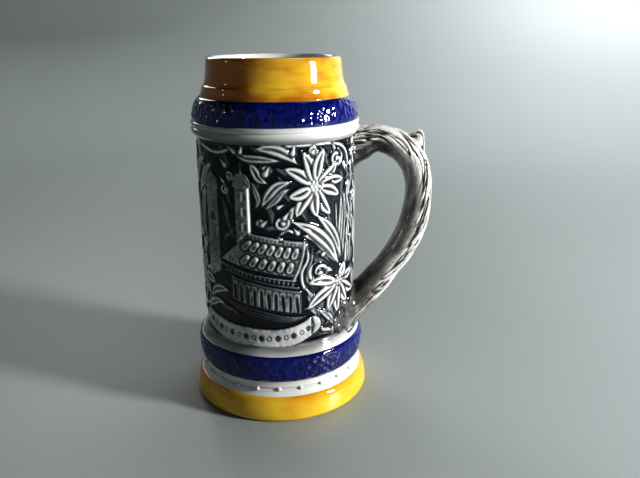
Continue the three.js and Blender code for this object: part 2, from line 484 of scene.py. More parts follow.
def hammered_band_tree():
    """Presses small irregular dimples into the outside of a band between two heights."""
    inputs = (
        ("Band", "NodeSocketGeometry", None),
        ("Bottom", "NodeSocketFloat", 0.0),
        ("Top", "NodeSocketFloat", 0.01),
        ("Border", "NodeSocketFloat", 0.0015),
        ("Inner limit", "NodeSocketFloat", 0.04),
        ("Dimple size", "NodeSocketFloat", 0.003),
        ("Dimple depth", "NodeSocketFloat", 0.0004),
        ("Seed", "NodeSocketFloat", 0.0),
        ("Glaze", "NodeSocketMaterial", None),
    )
    outputs = [("Band", "NodeSocketGeometry")]
    tree, given, sink = make_tree("Hammered band", "GeometryNodeTree", inputs, outputs)
    place = add(tree, "GeometryNodeInputPosition").outputs[0]
    start = add(tree, "ShaderNodeCombineXYZ", {"X": given["Seed"]}).outputs[0]
    shifted = vector_calc(tree, "ADD", place, start)
    scale = calc(tree, "DIVIDE", 1.0, given["Dimple size"])
    warp = calc(tree, "MULTIPLY", noise(tree, shifted, calc(tree, "MULTIPLY", scale, 0.8), 1.0), 0.02)
    warped = vector_calc(tree, "ADD", shifted, vector_calc(tree, "SCALE", place, warp))
    cell = {"Vector": warped, "Scale": scale, "Smoothness": 0.25}
    cells = add(tree, "ShaderNodeTexVoronoi", cell, feature="SMOOTH_F1").outputs["Distance"]
    fine = noise(tree, shifted, calc(tree, "MULTIPLY", scale, 2.6), 1.0)
    pattern = calc(tree, "ADD", calc(tree, "SUBTRACT", cells, 0.5), calc(tree, "MULTIPLY", fine, 0.22))
    parts = add(tree, "ShaderNodeSeparateXYZ", {0: place}).outputs
    above = remap(tree, calc(tree, "SUBTRACT", parts["Z"], given["Bottom"]), 0.0, given["Border"])
    below = remap(tree, calc(tree, "SUBTRACT", given["Top"], parts["Z"]), 0.0, given["Border"])
    flat = vector_calc(tree, "MULTIPLY", place, (1.0, 1.0, 0.0))
    radius = vector_calc(tree, "LENGTH", flat, result=1)
    outside = calc(tree, "GREATER_THAN", radius, given["Inner limit"])
    mask = calc(tree, "MULTIPLY", calc(tree, "MULTIPLY", above, below), outside)
    depth = calc(tree, "MULTIPLY", calc(tree, "MULTIPLY", pattern, mask), given["Dimple depth"])
    normal = add(tree, "GeometryNodeInputNormal").outputs[0]
    shift = vector_calc(tree, "SCALE", normal, depth)
    pressed = {"Geometry": given["Band"], "Offset": shift}
    moved = add(tree, "GeometryNodeSetPosition", pressed).outputs[0]
    finish_tree(tree, moved, given["Glaze"], sink)
    return tree


def bead_row_tree():
    """Rounded beads, evenly spaced round the pot."""
    inputs = (
        ("Seed point", "NodeSocketGeometry", None),
        ("Count", "NodeSocketInt", 24),
        ("Row radius", "NodeSocketFloat", 0.045),
        ("Height", "NodeSocketFloat", 0.017),
        ("Bead radius", "NodeSocketFloat", 0.0012),
        ("Start turn", "NodeSocketFloat", 0.0),
        ("Glaze", "NodeSocketMaterial", None),
    )
    outputs = [("Beads", "NodeSocketGeometry")]
    tree, given, sink = make_tree("Bead row", "GeometryNodeTree", inputs, outputs)
    circle = add(
        tree, "GeometryNodeMeshCircle", {"Vertices": given["Count"], "Radius": given["Row radius"]}
    ).outputs[0]
    lift = add(tree, "ShaderNodeCombineXYZ", {"Z": given["Height"]}).outputs[0]
    turn = add(tree, "ShaderNodeCombineXYZ", {"Z": given["Start turn"]}).outputs[0]
    moves = {"Geometry": circle, "Translation": lift, "Rotation": turn}
    raised = add(tree, "GeometryNodeTransform", moves).outputs[0]
    ball = {"Radius": given["Bead radius"], "Subdivisions": 4}
    bead = add(tree, "GeometryNodeMeshIcoSphere", ball).outputs[0]
    row = add(tree, "GeometryNodeInstanceOnPoints", {"Points": raised, "Instance": bead}).outputs[0]
    finish_tree(tree, row, given["Glaze"], sink)
    return tree


ring_tree = turned_ring_tree()
hammer_tree = hammered_band_tree()
bead_tree = bead_row_tree()


# ---- The turned pieces of the vessel ----
def section_curve(name, outside, back):
    """A closed section: the outside from top to bottom, then the hidden back upwards, in mm."""
    outline = list(outside) + list(back)
    points = [((r - CORE_RADIUS) * MM, -z * MM, 0.0) for r, z in outline]
    return curve_object(name, points, closed=True)


def join_lines(*lines, step=0.4):
    """Several smooth stretches end to end, with corners where they meet."""
    parts = [rounded(line, step) for line in lines]
    return [tuple(p) for part in parts for p in part[:-1]] + [tuple(parts[-1][-1])]


def settle(piece, slot_name, *stands_for):
    """Every piece rides on the one body and hides the imported parts it stands for; slot_name is not used.
    """
    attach(piece, "root")
    if stands_for:
        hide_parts(*stands_for)
    return piece


def turned_piece(name, outside, back, material, slot_name, segments=RING_SEGMENTS, extra=()):
    """A ring of the vessel, turned from its section, then changed by any extra trees."""
    sizes = {
        "Segments": segments,
        "Core radius": CORE_RADIUS * MM,
        "Unevenness": 0.16 * MM,
        "Lump size": 22 * MM,
        "Glaze": material,
    }
    piece = grow(name, section_curve(name, outside, back), (ring_tree, sizes), *extra)
    return settle(piece, slot_name)


def dimpled_band(name, outside, back, inner_limit, seed):
    """A blue band, dimpled all over its outside but for a narrow border."""
    border = 0.5
    sizes = {
        "Bottom": (outside[-1][1] + border) * MM,
        "Top": (outside[0][1] - border) * MM,
        "Border": 1.6 * MM,
        "Inner limit": inner_limit * MM,
        "Dimple size": 3.0 * MM,
        "Dimple depth": 0.9 * MM,
        "Seed": seed,
        "Glaze": cobalt_blue,
    }
    dimples = (hammer_tree, sizes)
    turned_piece(name, outside, back, cobalt_blue, "blue_glaze", BAND_SEGMENTS, (dimples,))


def make_collar():
    """The yellow collar: a rounded lip, a plain wall, and a small step above the blue band."""
    outside = join_lines(
        [(33.4, LIP_TOP), (34.7, 189.75), (35.5, 188.8), (35.85, 187.2)],
        [(35.85, 187.2), (36.2, 183.5), (36.6, 180), (37.1, 177.4), (37.7, 175.9)],
        [(37.7, 175.9), (38.3, 175.5), (38.6, 174.8)],
        [(38.6, 174.8), (38.95, 173), (39.6, 171.2), (40.3, UPPER_BAND_TOP)],
    )
    back = [(36.5, UPPER_BAND_TOP), (33.6, 177), (33.4, 188)]
    collar = turned_piece("yellow_collar", outside, back, collar_yellow, "yellow_glaze")
    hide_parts("stein_body")


def make_upper_blue_band():
    """The dimpled blue slope under the collar."""
    outside = join_lines(
        [
            (40.3, UPPER_BAND_TOP), (41.1, 169.6), (42.0, 168.2), (43.1, 166),
            (44.0, 163), (44.5, 160.4), (44.5, 158.6), (44.4, SHOULDER_TOP),
        ],
        step=0.35,
    )
    back = [(41.5, SHOULDER_TOP), (39.5, 164), (36.8, UPPER_BAND_TOP)]
    dimpled_band("upper_blue_band", outside, back, inner_limit=40.5, seed=0.0)


def make_white_shoulder():
    """Two rounded mouldings with a crease between them."""
    outside = join_lines(
        [(44.4, SHOULDER_TOP), (45.1, 157.7), (45.4, 156.6), (45.1, 155.6), (44.45, 155.0)],
        [(44.45, 155.0), (45.2, 154.4), (45.5, 153.4), (45.1, 151.9), (44.0, 150.6), (42.9, RELIEF_TOP)],
    )
    back = [(39.8, RELIEF_TOP), (41.3, 157.8)]
    turned_piece("white_shoulder", outside, back, shoulder_white, "white_glaze")


def make_lower_moulding():
    """The white cove under the relief."""
    outside = join_lines(
        [(44.0, RELIEF_BOTTOM), (44.5, 40.4), (45.2, 39.0), (45.9, 37.8), (46.3, LOWER_BAND_TOP)],
    )
    back = [(42.2, LOWER_BAND_TOP), (40, RELIEF_BOTTOM)]
    turned_piece("lower_white_moulding", outside, back, moulding_white, "white_glaze")


def make_lower_blue_band():
    """The dimpled, rounded blue band above the beads."""
    outside = join_lines(
        [
            (46.3, LOWER_BAND_TOP), (47.1, 36.4), (47.6, 34), (47.7, 30),
            (47.3, 26), (46.7, 23.2), (46.0, BEAD_BAND_TOP),
        ],
        step=0.35,
    )
    back = [(42, BEAD_BAND_TOP), (42.2, LOWER_BAND_TOP)]
    dimpled_band("lower_blue_band", outside, back, inner_limit=44, seed=0.4)


def make_bead_band():
    """A white band with a shallow groove, and a row of beads that sits in the groove."""
    groove_radius = 45.35
    outside = join_lines(
        [(46.0, BEAD_BAND_TOP), (45.55, 21.2), (45.3, 19.6), (groove_radius, 18.1)],
        [(groove_radius, 18.1), (45.05, 17.75), (44.98, 17.4), (45.15, 17.05), (45.5, 16.8)],
        [(45.5, 16.8), (45.9, 15.6), (46.6, 14.3), (47.2, FOOT_TOP)],
        step=0.3,
    )
    back = [(42, FOOT_TOP), (42, BEAD_BAND_TOP)]
    turned_piece("white_bead_band", outside, back, band_white, "white_glaze")
    sizes = {
        "Count": 24,
        "Row radius": groove_radius * MM,
        "Height": 17.4 * MM,
        "Bead radius": 1.15 * MM,
        "Start turn": math.radians(-2.4),
        "Glaze": band_white,
    }
    seed = mesh_object("bead_seed", [(0, 0, 0)], [])
    settle(grow("raised_beads", seed, (bead_tree, sizes)), "white_glaze")


def make_foot():
    """The yellow foot, which flares to the widest part of the stein."""
    outside = join_lines(
        [(47.2, FOOT_TOP), (47.8, 13.2), (48.8, 12), (49.8, 9.6), (50.6, 6.4), (51.0, 3.6)],
        [(51.0, 3.6), (50.95, 1.9), (50.4, 0.75), (49.1, 0.12), (47.4, 0.0)],
    )
    back = [(44.5, 0.35), (43.5, FOOT_TOP)]
    turned_piece("yellow_foot", outside, back, foot_yellow, "yellow_glaze")


def make_lining():
    """The white inside, from the middle of the floor up and over the lip."""
    inside = join_lines(
        [(0.002, 9), (14, 9.1), (26, 9.6), (32.5, 11.2), (36.4, 14.6), (38, 20)],
        [(38, 20), (38, 80), (38, 138), (37.7, 147)],
        [(37.7, 147), (36.2, 157), (33.4, 167), (31.8, 174), (31.4, 180), (31.35, 186.5)],
        [(31.35, 186.5), (31.55, 188.6), (32.3, 189.7), (33.4, LIP_TOP)],
        step=0.8,
    )
    hidden = [(33.3, 187), (33.2, 178), (38.2, 160), (39.4, 147), (39.4, 8), (36, 5), (0.002, 5)]
    turned_piece(
        "white_lining", inside[::-1], hidden[::-1], lining_white, "white_glaze", LINING_SEGMENTS
    )


def make_underside():
    """Bare clay inside the foot ring."""
    hidden = [(0.002, 4), (44.2, 4), (44.4, 0.4)]
    seen = [(43.2, 0.3), (41.6, 0.9), (20, 1.0), (0.002, 1.0)]
    turned_piece("bare_underside", hidden, seen, bare_clay, "bare_clay", UNDERSIDE_SEGMENTS)


make_collar()
make_upper_blue_band()
make_white_shoulder()
make_lower_moulding()
make_lower_blue_band()
make_bead_band()
make_foot()
make_lining()
make_underside()


# ---- The branch handle ----
# The branch's middle in mm: distance from the pot's axis, height, and half its thickness there.
BRANCH_LINE = (
    (47, 143.2, 9.4), (52, 145.0, 8.0), (57, 145.6, 7.5), (67, 142, 7.8),
    (75, 134.6, 8.0), (79, 125.5, 7.7), (80.2, 115.4, 7.4), (79.2, 103.6, 7.6),
    (76, 91.8, 7.8), (70.6, 81, 7.6), (64, 71.1, 7.4), (57.5, 63, 8.0),
)
# The branch is this much wider, on each side, than it is thick, and a little squarer than an ellipse.
BRANCH_WIDENING = 1.5
BRANCH_SQUARENESS = 2.3
BRANCH_GIRTH_RADIUS = 7.6
RING_POINTS = 96
HANDLE_VOXEL = 0.42

# The roots, spread over the wall and sunk a little way into it.
ROOT_RINGS = 30
ROOT_DEPTH = 2.2
ROOT_LOBES = 5
ROOT_LOBE_SHARE = 0.16

# The stub of the cut twig: where it leaves the branch, and its greatest sizes.
STUB_ROOT = (72.2, 133.2)
STUB_LEAN = math.radians(12)
STUB_LENGTH = 18.6
STUB_ACROSS = 10.8
STUB_THICK = 6.6
STUB_SLANT = 4.6
STUB_OUTWARD_SHIFT = 1.9
STUB_POINTS = 48

# Knots on the lower root: distance round the wall from the handle's middle, height, radius.
ROOT_KNOTS = (
    (-24, 55, 3.6), (-30, 51.5, 3.3), (-26, 47.5, 3.4), (-34, 48.5, 2.7), (-31, 44.5, 2.8),
    (-37, 44.8, 2.0), (-21, 49, 3.4), (-24, 42.8, 2.4), (-38.5, 52, 1.6), (-28, 58.5, 1.9),
    (23, 54, 3.4), (29, 50, 3.1), (25, 46, 3.1), (33, 46, 2.5), (20, 48, 3.2), (37, 49, 1.8),
)
KNOT_POINTS = 24
KNOT_STRETCH = 1.5

# The wall under the roots: heights, and the radius there.
WALL_LEVELS = (36, 37.5, 39, 41.5, 44.5, 48, 148, 150.6, 152, 158)
WALL_RADII = (46.6, 46.1, 45.1, 44.0, 43.2, 42.7, 42.7, 44.0, 45.1, 45.2)


def wall_radius(level):
    """The radius of the pot's outside, in mm, at heights where a root may lie."""
    return np.interp(level, WALL_LEVELS, WALL_RADII)


def smoothstep(low, high, value):
    """0 at low, 1 at high and an S-curve between. With low above high it falls."""
    t = np.clip((value - low) / (high - low), 0, 1)
    return t * t * (3 - 2 * t)


def on_wall(arc, level, sink=0.0):
    """A point on the wall, from its distance round from the handle's middle and its height."""
    angle = arc / GROUND_RADIUS
    radius = wall_radius(level) - sink
    return np.stack([radius * np.cos(angle), radius * np.sin(angle), level], -1)


def wall_landing(ring, heading):
    """Where the ring's points meet the wall when carried straight on, and their distances round it."""
    steps = np.arange(0, 45, 0.2)
    ways = ring[:, None] + heading * steps[None, :, None]
    reached = np.hypot(ways[..., 0], ways[..., 1]) < wall_radius(ways[..., 2])
    landing = np.take_along_axis(ways, reached.argmax(1)[:, None, None].repeat(3, 2), 1)[:, 0]
    return landing, np.arctan2(landing[:, 1], landing[:, 0]) * GROUND_RADIUS


def root_rings(ring, heading, above, beside, below, lowest, highest):
    """Carries a ring of the branch on to the wall and spreads it there as a concave root."""
    landing, arc = wall_landing(ring, heading)
    level = landing[:, 2]
    away = np.stack([arc, level - level.mean()], -1)
    away /= np.linalg.norm(away, axis=1, keepdims=True)
    upright = np.where(away[:, 1] > 0, above, below)
    reach = 1 / np.hypot(away[:, 0] / beside, away[:, 1] / upright)
    turn = np.arctan2(away[:, 1], away[:, 0])
    reach *= 1 + ROOT_LOBE_SHARE * np.sin(ROOT_LOBES * turn + 0.6)
    foot_level = np.clip(level + away[:, 1] * reach, lowest, highest)
    foot = on_wall(arc + away[:, 0] * reach, foot_level)
    rings = []
    for k in range(1, ROOT_RINGS + 1):
        t = k / ROOT_RINGS
        rings.append((1 - t) ** 2 * ring + 2 * t * (1 - t) * landing + t * t * foot)
    rings.append(on_wall(arc + away[:, 0] * reach, foot_level, ROOT_DEPTH))
    return rings, foot


def branch_rings():
    """The branch's cross-sections with its roots, its middle line and the outlines of both roots."""
    line = rounded(BRANCH_LINE, 0.8)
    tangent = np.gradient(line[:, :2], axis=0)
    tangent /= np.linalg.norm(tangent, axis=1, keepdims=True)
    around = np.arange(RING_POINTS) / RING_POINTS * 2 * math.pi
    power = BRANCH_SQUARENESS
    share = (np.abs(np.cos(around)) ** power + np.abs(np.sin(around)) ** power) ** (-1 / power)
    rings = []
    for (r, z, half), (tr, tz) in zip(line, tangent):
        out = half * share * np.cos(around)
        side = (half + BRANCH_WIDENING) * share * np.sin(around)
        rings.append(np.stack([r - out * tz, side, z + out * tr], -1))
    first = -np.array([tangent[0][0], 0, tangent[0][1]])
    last = np.array([tangent[-1][0], 0, tangent[-1][1]])
    upper, upper_foot = root_rings(
        rings[0], first, above=0.6, beside=4.5, below=4.0, lowest=120, highest=151.5
    )
    lower, lower_foot = root_rings(
        rings[-1], last, above=5.0, beside=19.0, below=11.0, lowest=39.2, highest=80
    )
    return upper[::-1] + rings + lower, line, tangent, upper_foot, lower_foot


def stub_rings():
    """The stub of a cut twig at the bend, the thumb rest: a fin-like spike with a slanted top."""
    axis = np.array([math.sin(STUB_LEAN), 0, math.cos(STUB_LEAN)])
    sideways = np.array([math.cos(STUB_LEAN), 0, -math.sin(STUB_LEAN)])
    root = np.array([STUB_ROOT[0], 0, STUB_ROOT[1]])
    around = np.arange(STUB_POINTS) / STUB_POINTS * 2 * math.pi
    rings = []
    for t in np.linspace(0, 1, 30):
        across = STUB_ACROSS * (1 - 0.48 * t) * math.sqrt(max(1 - t**8, 0.02))
        thick = STUB_THICK * (1 - 0.42 * t) * math.sqrt(max(1 - t**4, 0.02))
        height = STUB_LENGTH * t - STUB_SLANT * t**2 * (1 - np.cos(around)) / 2
        width = across * np.cos(around) + STUB_OUTWARD_SHIFT * t
        ring = root + np.outer(height, axis) + np.outer(width, sideways)
        ring[:, 1] += thick * np.sin(around)
        rings.append(ring)
    return rings


def knot_rings(arc, level, radius):
    """An upright egg, half sunk in the lower root."""
    middle = on_wall(arc, level, 0.5 * radius)
    around = np.arange(KNOT_POINTS) / KNOT_POINTS * 2 * math.pi
    flat = np.stack([np.cos(around), np.sin(around), np.zeros(KNOT_POINTS)], -1)
    cap = 0.12
    rings = []
    for turn in np.linspace(cap, math.pi - cap, 12):
        upright = np.array([0, 0, KNOT_STRETCH * math.cos(turn)])
        rings.append(middle + radius * (math.sin(turn) * flat + upright))
    return rings


def loft(rings, vertices, faces):
    """Adds a closed skin over rings with the same number of points."""
    rings = np.array(rings)
    rows, count = rings.shape[:2]
    start = len(vertices)
    vertices.extend(rings.reshape(-1, 3) * MM)
    vertices.extend([rings[0].mean(0) * MM, rings[-1].mean(0) * MM])
    low, high = start + rows * count, start + rows * count + 1
    for i in range(count):
        following = (i + 1) % count
        for j in range(rows - 1):
            a, b = start + j * count + i, start + j * count + following
            faces.append((a, b, b + count, a + count))
        faces.append((low, start + following, start + i))
        faces.append((high, start + (rows - 1) * count + i, start + (rows - 1) * count + following))


def describe_branch(place, line, tangent):
    """For each vertex: the way along the branch, the turn round it, how deep its bark is cut, how far
    it faces the fingers, how much of the stain comes off there, and how dark the roots are left. Near the
    roots the darkness is stain and partly painted shade where the branch meets the wall."""
    middle = np.stack([line[:, 0], np.zeros(len(line)), line[:, 1]], -1)
    heading = np.stack([tangent[:, 0], np.zeros(len(line)), tangent[:, 1]], -1)
    outward = np.stack([-tangent[:, 1], np.zeros(len(line)), tangent[:, 0]], -1)
    travelled = np.concatenate([[0], np.cumsum(np.linalg.norm(np.diff(middle, axis=0), axis=1))])
    nearest = np.empty(len(place), int)
    batch = 8000
    for start in range(0, len(place), batch):
        block = place[start:start + batch]
        nearest[start:start + batch] = ((block[:, None] - middle[None]) ** 2).sum(-1).argmin(1)
    offset = place - middle[nearest]
    along = travelled[nearest] + (offset * heading[nearest]).sum(1)
    around = np.arctan2(offset[:, 1], (offset * outward[nearest]).sum(1))
    finger_side = smoothstep(0.25, -0.25, np.cos(around))
    past_end = along - travelled[-1]
    beyond = np.maximum(-along, past_end)
    depth = (1 - 0.93 * finger_side) * (1 - 0.75 * smoothstep(6, 16, beyond))
    # Near both roots the stain stays on: real stain, and partly painted shade under the upper root and
    # where the branch meets the wall.
    under_root = smoothstep(26, 8, along) + 0.45 * smoothstep(-12, 2, past_end)
    wiping_and_root_shade = finger_side * (1 - 0.9 * np.clip(under_root, 0, 1))
    root_stain_and_shade = 0.55 * smoothstep(2, 12, past_end) + 0.35 * smoothstep(8, 0, along)
    return {
        "along": along * MM,
        "around": around,
        "bark_depth": depth,
        "finger_side": finger_side,
        "wiping_and_root_shade": wiping_and_root_shade,
        "root_stain_and_shade": root_stain_and_shade,
    }


def bark_tree():
    """Long twisting strands of bark, cut by narrow grooves, deeper where bark_depth is larger."""
    inputs = (
        ("Skin", "NodeSocketGeometry", None),
        ("Girth radius", "NodeSocketFloat", 0.0076),
        ("Strand width", "NodeSocketFloat", 0.004),
        ("Stretch", "NodeSocketFloat", 7.0),
        ("Twist per metre", "NodeSocketFloat", 9.0),
        ("Groove depth", "NodeSocketFloat", 0.0009),
        ("Seed", "NodeSocketFloat", 3.0),
        ("Glaze", "NodeSocketMaterial", None),
    )
    outputs = [("Skin", "NodeSocketGeometry")]
    tree, given, sink = make_tree("Bark skin", "GeometryNodeTree", inputs, outputs)
    along, around, mask = (attribute(tree, label) for label in ("along", "around", "bark_depth"))
    finger_side, wiping_and_root_shade, root_stain_and_shade = (attribute(tree, label) for label in ("finger_side", "wiping_and_root_shade", "root_stain_and_shade"))
    turn = calc(tree, "ADD", around, calc(tree, "MULTIPLY", along, given["Twist per metre"]))
    untwisted = {
        "X": calc(tree, "MULTIPLY", calc(tree, "COSINE", turn), given["Girth radius"]),
        "Y": calc(tree, "MULTIPLY", calc(tree, "SINE", turn), given["Girth radius"]),
        "Z": calc(tree, "ADD", calc(tree, "DIVIDE", along, given["Stretch"]), given["Seed"]),
    }
    spot = add(tree, "ShaderNodeCombineXYZ", untwisted).outputs[0]
    scale = calc(tree, "DIVIDE", 1.0, given["Strand width"])
    broad_swell = calc(tree, "SUBTRACT", noise(tree, spot, scale, 1.0), 0.5)
    fine = noise(tree, spot, calc(tree, "MULTIPLY", scale, 2.1), 1.0)
    fine_swell = calc(tree, "SUBTRACT", fine, 0.5)
    # A groove runs where a pattern crosses its middle value.
    crests = []
    for swell, groove_reach in ((broad_swell, 0.075), (fine_swell, 0.055)):
        crests.append(remap(tree, calc(tree, "ABSOLUTE", swell), 0.0, groove_reach))
    crest = calc(tree, "MULTIPLY", crests[0], remap(tree, crests[1], 0.0, 1.0, 0.6, 1.0, smooth=False))
    deep = calc(tree, "MULTIPLY", mask, given["Groove depth"])
    depth = calc(tree, "MULTIPLY", calc(tree, "SUBTRACT", crest, 1.0), deep)
    lift = calc(tree, "MULTIPLY", calc(tree, "MULTIPLY", broad_swell, deep), 1.6)
    normal = add(tree, "GeometryNodeInputNormal").outputs[0]
    shift = vector_calc(tree, "SCALE", normal, calc(tree, "ADD", depth, lift))
    moved = add(tree, "GeometryNodeSetPosition", {"Geometry": given["Skin"], "Offset": shift}).outputs[0]
    # The stain is rubbed off the crests outside, taken off evenly inside, and left dark at the roots,
    # partly as painted shade.
    on_crests = calc(tree, "MULTIPLY", crest, 0.95)
    rubbed = calc(tree, "ADD", on_crests, calc(tree, "MULTIPLY", broad_swell, 0.9))
    smeared = calc(tree, "ADD", 0.5, calc(tree, "MULTIPLY", broad_swell, 0.5))
    inside = calc(tree, "MULTIPLY", smeared, wiping_and_root_shade)
    outside = calc(tree, "MULTIPLY", rubbed, calc(tree, "SUBTRACT", 1.0, finger_side))
    raised = calc(tree, "ADD", outside, inside)
    away_from_roots = calc(tree, "MULTIPLY", raised, calc(tree, "SUBTRACT", 1.0, root_stain_and_shade))
    at_roots = calc(tree, "MULTIPLY", root_stain_and_shade, 0.22)
    shown = calc(tree, "ADD", away_from_roots, at_roots)
    kept = keep_attribute(tree, moved, "raised", shown)
    finish_tree(tree, kept, given["Glaze"], sink)
    return tree


def luting_bead_tree():
    """The soft bead of slip squeezed out round a root, along a closed line."""
    inputs = (
        ("Line", "NodeSocketGeometry", None),
        ("Bead radius", "NodeSocketFloat", 0.001),
        ("Unevenness", "NodeSocketFloat", 0.0003),
        ("Glaze", "NodeSocketMaterial", None),
    )
    outputs = [("Bead", "NodeSocketGeometry")]
    tree, given, sink = make_tree("Luting bead", "GeometryNodeTree", inputs, outputs)
    section = {"Resolution": 14, "Radius": given["Bead radius"]}
    ring = add(tree, "GeometryNodeCurvePrimitiveCircle", section).outputs[0]
    swept = {"Curve": given["Line"], "Profile Curve": ring}
    tube = add(tree, "GeometryNodeCurveToMesh", swept).outputs[0]
    place = add(tree, "GeometryNodeInputPosition").outputs[0]
    lump = calc(tree, "SUBTRACT", noise(tree, place, 260.0, 1.0), 0.5)
    normal = add(tree, "GeometryNodeInputNormal").outputs[0]
    shift = vector_calc(tree, "SCALE", normal, calc(tree, "MULTIPLY", lump, given["Unevenness"]))
    moved = add(tree, "GeometryNodeSetPosition", {"Geometry": tube, "Offset": shift}).outputs[0]
    kept = keep_attribute(tree, moved, "raised", 0.15)
    finish_tree(tree, kept, given["Glaze"], sink)
    return tree


def vertex_places(mesh):
    """Where every vertex of the mesh is, one row each."""
    place = np.zeros(len(mesh.vertices) * 3, np.float32)
    mesh.vertices.foreach_get("co", place)
    return place.reshape(-1, 3).astype(float)


def turn_outwards(mesh):
    """Flips a closed mesh whose faces point in."""
    mesh.calc_loop_triangles()
    corners = np.zeros(len(mesh.loop_triangles) * 3, np.int32)
    mesh.loop_triangles.foreach_get("vertices", corners)
    a, b, c = vertex_places(mesh)[corners.reshape(-1, 3)].transpose(1, 0, 2)
    if np.einsum("ij,ij->i", a, np.cross(b, c)).sum() < 0:
        mesh.flip_normals()


def weld_branch(rings):
    """Welds the branch, its stub and its knots into one skin."""
    vertices, faces = [], []
    loft(rings, vertices, faces)
    loft(stub_rings(), vertices, faces)
    for knot in ROOT_KNOTS:
        loft(knot_rings(*knot), vertices, faces)
    rough = mesh_object("branch_skin", vertices, faces)
    weld = rough.modifiers.new("One skin", "REMESH")
    weld.mode = "VOXEL"
    weld.voxel_size = HANDLE_VOXEL * MM
    soft = rough.modifiers.new("Soft joins", "SMOOTH")
    soft.factor = 0.5
    soft.iterations = 9
    return grow("branch_skin", rough)


def make_handle():
    """The branch with its bark, and a luting bead round each root."""
    rings, line, tangent, upper_foot, lower_foot = branch_rings()
    base = weld_branch(rings)
    shape = describe_branch(vertex_places(base.data) / MM, line, tangent)
    for label, values in shape.items():
        layer = base.data.attributes.new(label, "FLOAT", "POINT")
        layer.data.foreach_set("value", values.astype(np.float32))
    bark = {
        "Glaze": bark_stain,
        "Groove depth": 1.1 * MM,
        "Strand width": 2.7 * MM,
        "Girth radius": BRANCH_GIRTH_RADIUS * MM,
        "Twist per metre": 30.0,
    }
    handle = grow("branch_handle", base, (bark_tree(), bark))
    settle(handle, "antiqued_glaze", "handle")

    bead = luting_bead_tree()
    for name, node, foot in (
        ("upper_slip_bead", "upper_slip_joint", upper_foot),
        ("lower_slip_bead", "lower_slip_joint", lower_foot),
    ):
        arc = np.arctan2(foot[:, 1], foot[:, 0]) * GROUND_RADIUS
        loop = on_wall(arc, foot[:, 2], 0.5) * MM
        path = curve_object(name, [tuple(point) for point in loop], closed=True)
        piece = grow(name, path, (bead, {"Bead radius": 0.75 * MM, "Glaze": bark_stain}))
        settle(piece, "antiqued_glaze", node)


make_handle()


# ---- The relief on the barrel ----
# How far the stain is rubbed off each kind of form, 0 to 1.
PICTURE_RUB = 0.66
# The towers keep more stain, partly as painted shade.
TOWER_RUB_WITH_PAINTED_SHADE = 0.55
SHADED_LEAF_RUB = 0.45
RIBBON_RUB = 0.7

# Distance between the points of a carved line, in mm.
STROKE_STEP = 0.35

# Where the branch's roots lie on the wall: the middle's height, then the reach sideways and up, in mm.
ROOT_CLEARINGS = ((142.0, 14.0, 13.0), (49.0, 34.0, 13.0))


